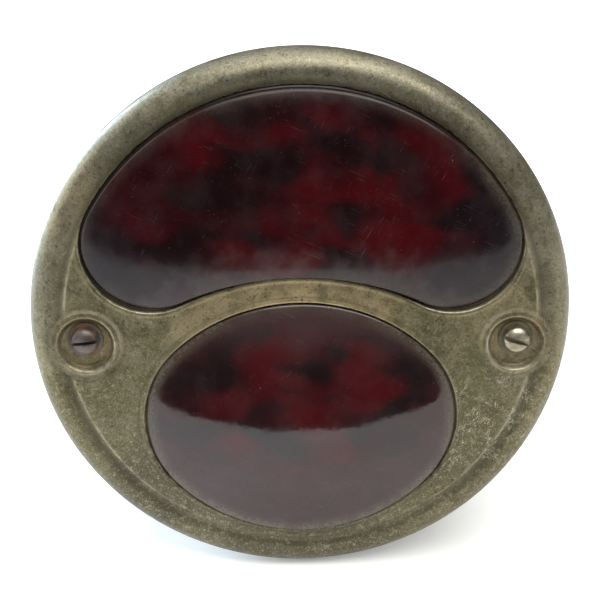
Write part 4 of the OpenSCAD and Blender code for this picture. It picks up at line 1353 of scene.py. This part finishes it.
def door_metal():
    """Nickel plate dulled to olive grey, with brown stains, pits, scratches and white specks, painted
    shade low down and in the crease, and painted highlights on the upper bead and the dimple rings.
    """
    s = Shader("tarnished_nickel_door")
    broad = s.noise(16, 3, 0.55, warp=0.6)
    middle = s.noise(4.2, 4, 0.6, warp=0.4)
    fine = s.noise(0.8, 4, 0.7)
    grain = s.noise(0.32, 2, 0.6)
    colour = s.mix(s.ramp(broad, 0.35, 0.65), (0.128, 0.108, 0.048), (0.195, 0.172, 0.092))
    colour = s.mix(s.ramp(middle, 0.45, 0.70, 0, 0.6), colour, (0.230, 0.205, 0.130))
    colour = s.mix(s.ramp(middle, 0.48, 0.28, 0, 0.7), colour, (0.085, 0.074, 0.038))
    green = s.ramp(s.noise(11, 3, 0.5, s.stretch(move=(40, 0, 9))), 0.50, 0.70, 0, 0.55)
    colour = s.mix(green, colour, (0.120, 0.124, 0.050))
    brown = s.ramp(s.noise(9, 4, 0.6, s.stretch(move=(7, 3, 21)), 0.8), 0.56, 0.74, 0, 0.5)
    colour = s.mix(brown, colour, (0.135, 0.090, 0.042))
    # Darker towards the bottom of the door: painted shade.
    low_shade = s.times(s.ramp(s.axis("Z"), 0, -36, 0, 0.75), s.ramp(middle, 0.65, 0.35, 0.75, 1))
    colour = s.mix(low_shade, colour, (0.082, 0.071, 0.038))
    # Paler, greyer tone over the bead, strongest high up: partly worn nickel, partly painted highlight.
    rim = s.minus(1, spot_mask(s, 0, 0, 46.8, 3))
    rim = s.times(rim, s.ramp(s.axis("Z"), -16, 22, 0, 0.6))
    colour = s.mix(s.times(rim, s.ramp(middle, 0.3, 0.55, 0.5, 1)), colour, (0.200, 0.190, 0.150))
    golden = (0.340, 0.262, 0.140)
    rust = (0.200, 0.130, 0.055)
    # Patches: rust by the screws, brass showing through, paler plating, and two dark patches low down
    # that are painted shade.
    for x, z, size, soft, amount, tone in (
            (-42, -3, 4.5, 4.0, 0.6, rust), (44, -4, 4.5, 4.0, 0.35, rust),
            (2, 8, 13, 11, 0.85, golden), (-17, 2, 5, 8, 0.6, golden), (-46, 26, 5, 9, 0.5, golden),
            (40, 2, 4, 7, 0.4, golden), (0, 6.5, 7, 6, 0.8, (0.520, 0.400, 0.215)),
            (-30, -36, 5, 9, 0.8, (0.060, 0.054, 0.034)),
            (0, -54, 14, 10, 0.75, (0.070, 0.064, 0.041)),
            (50, 17, 4, 8, 0.7, (0.250, 0.225, 0.150))):
        patch = s.ramp(middle, 0.30, 0.6, 0.3 * amount, amount)
        patch = s.times(spot_mask(s, x, z, size, soft), patch)
        colour = s.mix(patch, colour, tone)
    colour = s.mix(s.ramp(fine, 0.53, 0.70, 0, 0.65), colour, (0.315, 0.280, 0.180))
    colour = s.mix(s.ramp(fine, 0.47, 0.30, 0, 0.7), colour, (0.048, 0.040, 0.018))
    colour = s.mix(s.ramp(grain, 0.56, 0.72, 0, 0.5), colour, (0.38, 0.355, 0.27))
    colour = s.mix(s.ramp(grain, 0.45, 0.30, 0, 0.5), colour, (0.045, 0.038, 0.020))
    # Dark in the crease and dimples, from dirt and painted shade.
    dirt_and_shade = s.times(s.attribute("dirt_and_shade"), s.ramp(fine, 0.3, 0.55, 0.45, 1))
    colour = s.mix(dirt_and_shade, colour, (0.030, 0.025, 0.013))
    # Pale where the plating is rubbed, with painted glints on the dimple rings and a painted highlight
    # along the crease.
    wear_and_glint = s.times(s.attribute("wear_and_glint"), s.ramp(s.noise(1.8, 3), 0.36, 0.56, 0.1, 0.8))
    colour = s.mix(wear_and_glint, colour, (0.480, 0.440, 0.330))
    zone = s.plus(spot_mask(s, 38, -20, 6, 11), s.times(spot_mask(s, 4, -50, 26, 12), 0.12))
    zone = s.plus(zone, 0.04)
    speck = s.ramp(s.noise(0.55, 3, 0.7, s.stretch((0, 40, 0), (1, 1, 1.6))), 0.60, 0.68)
    web = s.math("ABSOLUTE", s.minus(s.noise(1.5, 4, 0.7, warp=0.6), 0.5))
    speck = s.most(speck, s.ramp(web, 0.022, 0.006, 0, 0.75))
    speck = s.times(speck, s.ramp(s.noise(2.6, 2), 0.45, 0.62))
    speck = s.times(speck, zone)
    colour = s.mix(speck, colour, (0.48, 0.44, 0.34))
    pits = s.ramp(s.cells(1.9), 0.16, 0.07)
    pits = s.times(pits, s.ramp(s.noise(5, 2, 0.5, s.stretch(move=(2, 8, 1))), 0.45, 0.6))
    colour = s.mix(s.times(pits, 0.8), colour, (0.025, 0.020, 0.012))
    lines = s.most(scratches(s, (0, 35, 0), 9, 0.16, 0.68, 3),
                   scratches(s, (0, -52, 0), 7, 0.15, 0.69, 11))
    lines = s.most(lines, scratches(s, (0, 80, 0), 8, 0.15, 0.70, 23))
    colour = s.mix(s.times(lines, 0.4), colour, (0.40, 0.37, 0.29))
    rough = s.ramp(middle, 0.3, 0.7, 0.34, 0.50)
    rough = s.plus(rough, s.times(dirt_and_shade, 0.25))
    rough = s.minus(rough, s.times(wear_and_glint, 0.10))
    metal = s.minus(0.66, s.times(s.plus(dirt_and_shade, speck), 0.5))
    height = s.plus(s.times(fine, 0.5), s.times(grain, 0.5))
    height = s.minus(height, pits)
    height = s.minus(height, s.times(lines, 0.3))
    normal = s.bump(height, 0.055, 0.8)
    normal = s.bump(middle, 0.12, 0.6, normal)
    return s.finish(Base_Color=colour, Roughness=rough, Metallic=metal, Normal=normal)


def dusty(s):
    """Where dust has settled on a glass's edge: low down, and at the right of the upper opening."""
    low = s.ramp(s.axis("Z"), 16, -20, 0.25, 1.15)
    side = s.ramp(s.axis("X"), 24, 36, 0, 0.7)
    return s.most(low, side)


def ruby(name, middle, reach, rim, film_z, polish, ior, seed, arch=False):
    """Deep ruby glass with soft red streaks, dust, fine scratches and a film, also over an arch."""
    s = Shader(name)
    streak = s.noise(9, 1.5, 0.4, s.stretch((0, 14, 0), (1.5, 1, 1), (seed, 0, seed)), 0.5)
    patch = s.ramp(streak, 0.38, 0.62)
    broad = s.noise(17, 1, 0.4, s.stretch(move=(seed * 3, 0, 4)), 0.2)
    patch = s.times(patch, s.ramp(broad, 0.30, 0.60, 0.35, 1))
    colour = s.mix(patch, (0.0070, 0.0014, 0.0020), (0.046, 0.0012, 0.0024))
    across = s.math("DIVIDE", s.axis("X"), reach[0])
    up = s.math("DIVIDE", s.minus(s.axis("Z"), middle), reach[1])
    away = s.plus(s.times(across, across), s.times(up, up))
    away = s.plus(away, s.times(s.minus(broad, 0.5), 1.2))
    colour = s.mix(s.ramp(away, 0.45, 1.05, 0, 0.92), colour, rim)
    cloud = s.noise(6, 4, 0.6, s.stretch(move=(0, 0, seed)))
    drift = s.plus(s.axis("Z"), s.times(s.minus(cloud, 0.5), 14))
    film = s.ramp(drift, film_z[0], film_z[1], 0, film_z[2])
    if arch:
        over = spot_mask(s, WAIST[0], WAIST[1], INNER_R + 1, 9)
        film = s.most(film, s.times(over, s.ramp(cloud, 0.25, 0.6, 0.1, 0.3)))
    film = s.most(film, s.ramp(cloud, 0.35, 0.75, 0, 0.06))
    colour = s.mix(film, colour, (0.14, 0.105, 0.105))
    band = s.ramp(s.noise(0.5, 3), 0.3, 0.6, 0.5, 1)
    band = s.times(s.ramp(s.noise(4.5, 3), 0.30, 0.60, 0.45, 1), band)
    edge = s.times(s.times(s.attribute("shoulder"), band), dusty(s))
    colour = s.mix(s.times(edge, 0.85), colour, (0.105, 0.088, 0.060))
    dust = s.ramp(s.noise(0.35, 2, 0.6), 0.70, 0.77, 0, 0.5)
    dust = s.times(dust, s.ramp(s.noise(5, 2), 0.45, 0.65, 0.15, 1))
    colour = s.mix(dust, colour, (0.30, 0.26, 0.26))
    lines = s.most(scratches(s, (0, 24, 0), 5, 0.10, 0.72, seed + 2),
                   scratches(s, (0, -60, 0), 4, 0.10, 0.72, seed + 9))
    colour = s.mix(s.times(lines, 0.12), colour, (0.30, 0.24, 0.25))
    rough = s.plus(s.ramp(s.noise(3, 3), 0.3, 0.7, *polish), s.times(edge, 0.4))
    rough = s.plus(rough, s.times(s.plus(dust, lines), 0.3))
    normal = s.bump(s.noise(1.1, 3), 0.012, 0.5)
    normal = s.bump(s.noise(7, 2), 0.05, 0.5, normal)
    material = s.finish(Base_Color=colour, Roughness=rough, Normal=normal)
    s.surface.inputs["IOR"].default_value = ior
    return material


def worn_metal(name, light, dark, stain, rough=0.35, stain_amount=0.4, metallic=1.0, grain=0.04):
    """Metal with cloudy tone, stains, tiny pits and fine scratches."""
    s = Shader(name)
    cloud = s.noise(6, 4, 0.6, warp=0.5)
    colour = s.mix(s.ramp(cloud, 0.35, 0.65), dark, light)
    marks = s.ramp(s.noise(3.5, 4, 0.65, s.stretch(move=(9, 4, 2))), 0.5, 0.72, 0, stain_amount)
    colour = s.mix(marks, colour, stain)
    fine = s.noise(0.7, 3, 0.6)
    colour = s.mix(s.ramp(fine, 0.58, 0.75, 0, 0.4), colour, light)
    pits = s.ramp(s.cells(1.3), 0.14, 0.05, 0, 0.6)
    colour = s.mix(pits, colour, tuple(c * 0.35 for c in dark))
    lines = scratches(s, (0, 30, 15), 6, 0.2, 0.67, 4)
    colour = s.mix(s.times(lines, 0.4), colour, tuple(min(c * 1.35, 0.95) for c in light))
    rough_map = s.plus(s.ramp(cloud, 0.3, 0.7, rough, rough + 0.14), s.times(marks, 0.3))
    metal = s.minus(metallic, s.times(marks, 0.6))
    normal = s.bump(s.minus(fine, pits), grain, 0.7)
    return s.finish(Base_Color=colour, Roughness=rough_map, Metallic=metal, Normal=normal)


def dull(name, light, dark, size, rough, depth, fleck=None):
    """A matt material with mottled colour and a fine relief."""
    s = Shader(name)
    cloud = s.noise(size * 4, 4, 0.6)
    fine = s.noise(size, 4, 0.65, warp=0.4)
    colour = s.mix(s.ramp(cloud, 0.35, 0.65), dark, light)
    colour = s.mix(s.ramp(fine, 0.5, 0.72, 0, 0.5), colour, tuple(c * 1.3 for c in light))
    if fleck:
        colour = s.mix(s.ramp(s.cells(size * 1.6), 0.3, 0.12, 0, 0.75), colour, fleck)
    normal = s.bump(fine, depth, 0.9)
    return s.finish(Base_Color=colour, Normal=normal,
                    Roughness=s.ramp(cloud, 0.3, 0.7, rough, rough + 0.15))


def glassy(name, tint, rough, weight):
    s = Shader(name)
    film = s.ramp(s.noise(5, 4, 0.6), 0.4, 0.7, 0, 0.12)
    colour = s.mix(film, tint, tuple(c * 0.75 for c in tint))
    normal = s.bump(s.noise(6, 2), 0.05, 0.4)
    material = s.finish(Base_Color=colour, Normal=normal,
                        Roughness=s.ramp(s.noise(2, 3), 0.3, 0.7, rough, rough + 0.06))
    s.surface.inputs["IOR"].default_value = 1.5
    s.surface.inputs["Transmission Weight"].default_value = weight
    return material


def woven_wire(name, light, dark):
    """Lacquered cotton braid over a wire."""
    s = Shader(name)
    braid = s.times(s.cells(0.34, s.stretch((0, 45, 0))), s.cells(0.34, s.stretch((0, -45, 0))))
    colour = s.mix(s.ramp(braid, 0.02, 0.25), light, dark)
    colour = s.mix(s.ramp(s.noise(2, 3), 0.45, 0.7, 0, 0.5), colour, dark)
    return s.finish(Base_Color=colour, Roughness=s.ramp(braid, 0, 0.3, 0.45, 0.7),
                    Normal=s.bump(braid, 0.08, 0.9))


def make_materials():
    return {
        "door": door_metal(),
        "stop_glass": ruby("ruby_stop", 26, (41, 21), (0.0065, 0.0040, 0.0060), (16, 0, 0.20),
                           (0.11, 0.19), 1.34, 1.0, arch=True),
        "tail_glass": ruby("ruby_tail", -15, (33, 17), (0.0300, 0.0105, 0.0110), (-12, 4, 0.15),
                           (0.05, 0.10), 1.54, 6.0),
        "drum": worn_metal("drum_nickel_worn", (0.235, 0.218, 0.155), (0.180, 0.165, 0.112),
                           (0.165, 0.115, 0.060), 0.42, 0.45, 0.75, 0.05),
        "dull_nickel": worn_metal("dull_nickel", (0.22, 0.20, 0.14), (0.12, 0.105, 0.06),
                                  (0.16, 0.10, 0.05), 0.42),
        "zinc": worn_metal("zinc_steel_worn", (0.42, 0.42, 0.40), (0.24, 0.24, 0.225),
                           (0.30, 0.19, 0.11), 0.42, 0.5),
        "stud": worn_metal("stud_steel_worn", (0.38, 0.37, 0.34), (0.20, 0.19, 0.17),
                           (0.26, 0.14, 0.07), 0.36, 0.5),
        "bright_steel": worn_metal("bright_steel", (0.60, 0.59, 0.56), (0.40, 0.39, 0.36),
                                   (0.36, 0.26, 0.16), 0.25, 0.3),
        "bright_screw": worn_metal("bright_nickel_screw", (0.46, 0.42, 0.33), (0.20, 0.175, 0.12),
                                   (0.22, 0.12, 0.05), 0.24, 0.5),
        "rusty": worn_metal("rusty_steel", (0.17, 0.145, 0.13), (0.085, 0.070, 0.062),
                            (0.17, 0.072, 0.028), 0.40, 0.8, 0.75, 0.08),
        "rivet": worn_metal("rivet_metal_worn", (0.44, 0.43, 0.38), (0.25, 0.24, 0.20),
                            (0.27, 0.18, 0.10), 0.35),
        "tin": worn_metal("bright_tin_worn", (0.66, 0.66, 0.63), (0.45, 0.45, 0.42),
                          (0.42, 0.34, 0.24), 0.28, 0.3),
        "old_brass": worn_metal("old_brass_worn", (0.50, 0.36, 0.17), (0.27, 0.18, 0.075),
                                (0.14, 0.13, 0.08), 0.32, 0.5),
        "bright_brass": worn_metal("contact_brass_worn", (0.72, 0.53, 0.26), (0.48, 0.33, 0.14),
                                   (0.25, 0.17, 0.08), 0.24, 0.3),
        "bulb_brass": worn_metal("bulb_brass_worn", (0.64, 0.50, 0.27), (0.40, 0.30, 0.14),
                                 (0.22, 0.18, 0.11), 0.27, 0.4),
        "spring": worn_metal("spring_steel_worn", (0.45, 0.46, 0.48), (0.27, 0.27, 0.28),
                             (0.24, 0.16, 0.10), 0.28),
        "tungsten": worn_metal("tungsten_wire", (0.36, 0.36, 0.37), (0.20, 0.20, 0.21),
                               (0.20, 0.18, 0.16), 0.35),
        "cork": dull("cork_gasket", (0.23, 0.155, 0.085), (0.12, 0.078, 0.042), 0.7, 0.75, 0.12,
                     (0.055, 0.034, 0.018)),
        "fibre": dull("brown_fibre", (0.115, 0.055, 0.032), (0.055, 0.028, 0.018), 0.5, 0.5, 0.04,
                      (0.03, 0.016, 0.01)),
        "black_glass": dull("black_glass_plug", (0.022, 0.02, 0.019), (0.012, 0.011, 0.011),
                            1.2, 0.16, 0.02),
        "clear_glass": glassy("clear_glass_old", (0.80, 0.90, 0.86), 0.06, 0.9),
        "bulb_glass": glassy("bulb_glass_clear", (0.93, 0.96, 0.95), 0.02, 0.95),
        "red_wire": woven_wire("red_braid", (0.22, 0.022, 0.015), (0.07, 0.012, 0.010)),
        "black_wire": woven_wire("black_braid", (0.045, 0.042, 0.038), (0.012, 0.012, 0.011)),
    }


# ---------------- stage, lights and camera

def stage():
    """A pale floor that ends in a bowed front edge, whose reflection shows in the lenses."""
    floor_z = CAD_BOX[0][2] - 0.0004
    mesh = bpy.data.meshes.new("floor")
    far, wide, count = 3.4, 3.0, 48
    edge_y, bow, half = -0.146, 3.2, 0.25
    front = [half * (2 * k / count - 1) for k in range(count + 1)]
    verts = [(x, edge_y - bow * x * x, floor_z) for x in front]
    verts = [(-wide, verts[0][1], floor_z)] + verts + [(wide, verts[-1][1], floor_z)]
    verts += [(wide, far, floor_z), (-wide, far, floor_z)]
    mesh.from_pydata(verts, [], [tuple(range(len(verts)))])
    floor = bpy.data.objects.new("floor", mesh)
    bpy.context.scene.collection.objects.link(floor)
    s = Shader("pale_floor")
    tone = s.ramp(s.noise(60, 2), 0.3, 0.7, 0.92, 0.95)
    s.finish(Base_Color=s.mix(tone, (0.8, 0.8, 0.8), (0.94, 0.94, 0.94)))
    s.surface.inputs["Roughness"].default_value = 0.9
    glow = s.mix(s.ramp(s.axis("Y"), 60, 500), (0.25, 0.25, 0.245), (1.1, 1.1, 1.1))
    s.put(s.surface.inputs["Emission Color"], glow)
    s.surface.inputs["Emission Strength"].default_value = 1.0
    mesh.materials.append(s.material)


def area_light(name, place, size, size_y, energy, colour):
    light = bpy.data.lights.new(name, "AREA")
    light.shape = "RECTANGLE"
    light.size = size
    light.size_y = size_y
    light.energy = energy
    light.color = colour
    obj = bpy.data.objects.new(name, light)
    obj.location = place
    aim = Vector((0, -0.05, 0)) - Vector(place)
    obj.rotation_euler = aim.to_track_quat("-Z", "Y").to_euler()
    bpy.context.scene.collection.objects.link(obj)


def lights():
    """Soft lights, and a sky that is dark low down and pale overhead."""
    area_light("top_softbox", (0.0, -0.10, 0.75), 0.7, 0.5, 2.8, (1, 0.98, 0.95))
    area_light("left_window", (-0.75, 0.0, 0.30), 0.4, 0.7, 3.2, (0.84, 0.92, 1.0))
    area_light("left_edge", (-0.6, 0.5, 0.25), 0.15, 0.6, 9.0, (0.66, 0.83, 1.0))
    area_light("front_fill", (0.25, -0.8, 1.0), 1.2, 0.7, 14.5, (1, 0.98, 0.94))
    world = bpy.data.worlds.new("studio")
    world.use_nodes = True
    nodes, links = world.node_tree.nodes, world.node_tree.links
    source = nodes.new("ShaderNodeTexCoord")
    parts = nodes.new("ShaderNodeSeparateXYZ")
    links.new(source.outputs["Generated"], parts.inputs[0])
    rise = nodes.new("ShaderNodeMapRange")
    rise.interpolation_type = "SMOOTHSTEP"
    for name, value in (("From Min", 0.35), ("From Max", 0.95), ("To Min", 0.11), ("To Max", 0.75)):
        rise.inputs[name].default_value = value
    links.new(parts.outputs["Z"], rise.inputs["Value"])
    sky = nodes["Background"]
    sky.inputs["Color"].default_value = (0.96, 0.98, 1.0, 1)
    links.new(rise.outputs["Result"], sky.inputs["Strength"])
    bpy.context.scene.world = world


def camera():
    a, e, r = (radians(v) for v in (CAMERA_AZIMUTH, CAMERA_ELEVATION, CAMERA_ROLL))
    back = Vector((sin(a) * cos(e), -cos(a) * cos(e), sin(e)))
    right = (-back).cross(Vector((0, 0, 1))).normalized()
    up = right.cross(-back)
    across = right * cos(r) + up * sin(r)
    top = up * cos(r) - right * sin(r)
    data = bpy.data.cameras.new("camera")
    data.lens = CAMERA_LENS
    data.sensor_width = 36
    data.clip_start = 0.005
    data.clip_end = 20
    obj = bpy.data.objects.new("camera", data)
    turn = Matrix((across, top, back)).transposed().to_4x4()
    obj.matrix_world = Matrix.Translation((AIM + back * CAMERA_DISTANCE) * MM) @ turn
    bpy.context.scene.collection.objects.link(obj)
    bpy.context.scene.camera = obj
    bpy.context.scene.view_settings.view_transform = "Standard"


# ---------------- the lamp

MATERIALS = make_materials()
camera()
stage()
lights()

lens_door()
lens("stop_lens", kidney, kidney_distance, STOP_GAP, stop_dome, "stop_glass")
lens("tail_lens", oval, oval_distance, TAIL_GAP, tail_dome, "tail_glass")
lens_fittings()
door_screw("left_door_screw", -1, 6, 0.7, "rusty")
door_screw("right_door_screw", 1, -15, 0.9, "bright_screw")
screw_washers()
drum_shell()
stud_plate()
mounting_studs()
connector()
socket_plate()
light_divider()
screw_lugs()
plate_window()
leads()
for bulb_name, bulb_y, bulb_glass_r, bulb_tip_h, bulb_reach in (
        ("stop", STOP_Y, 12.7, 57.0, 4.0), ("tail", OVAL_Y, 9.5, 50.0, 3.0)):
    socket(bulb_name + "_socket", bulb_y)
    contact_parts(bulb_name, bulb_y)
    bulb(bulb_name, bulb_y, bulb_glass_r, bulb_tip_h, bulb_reach)
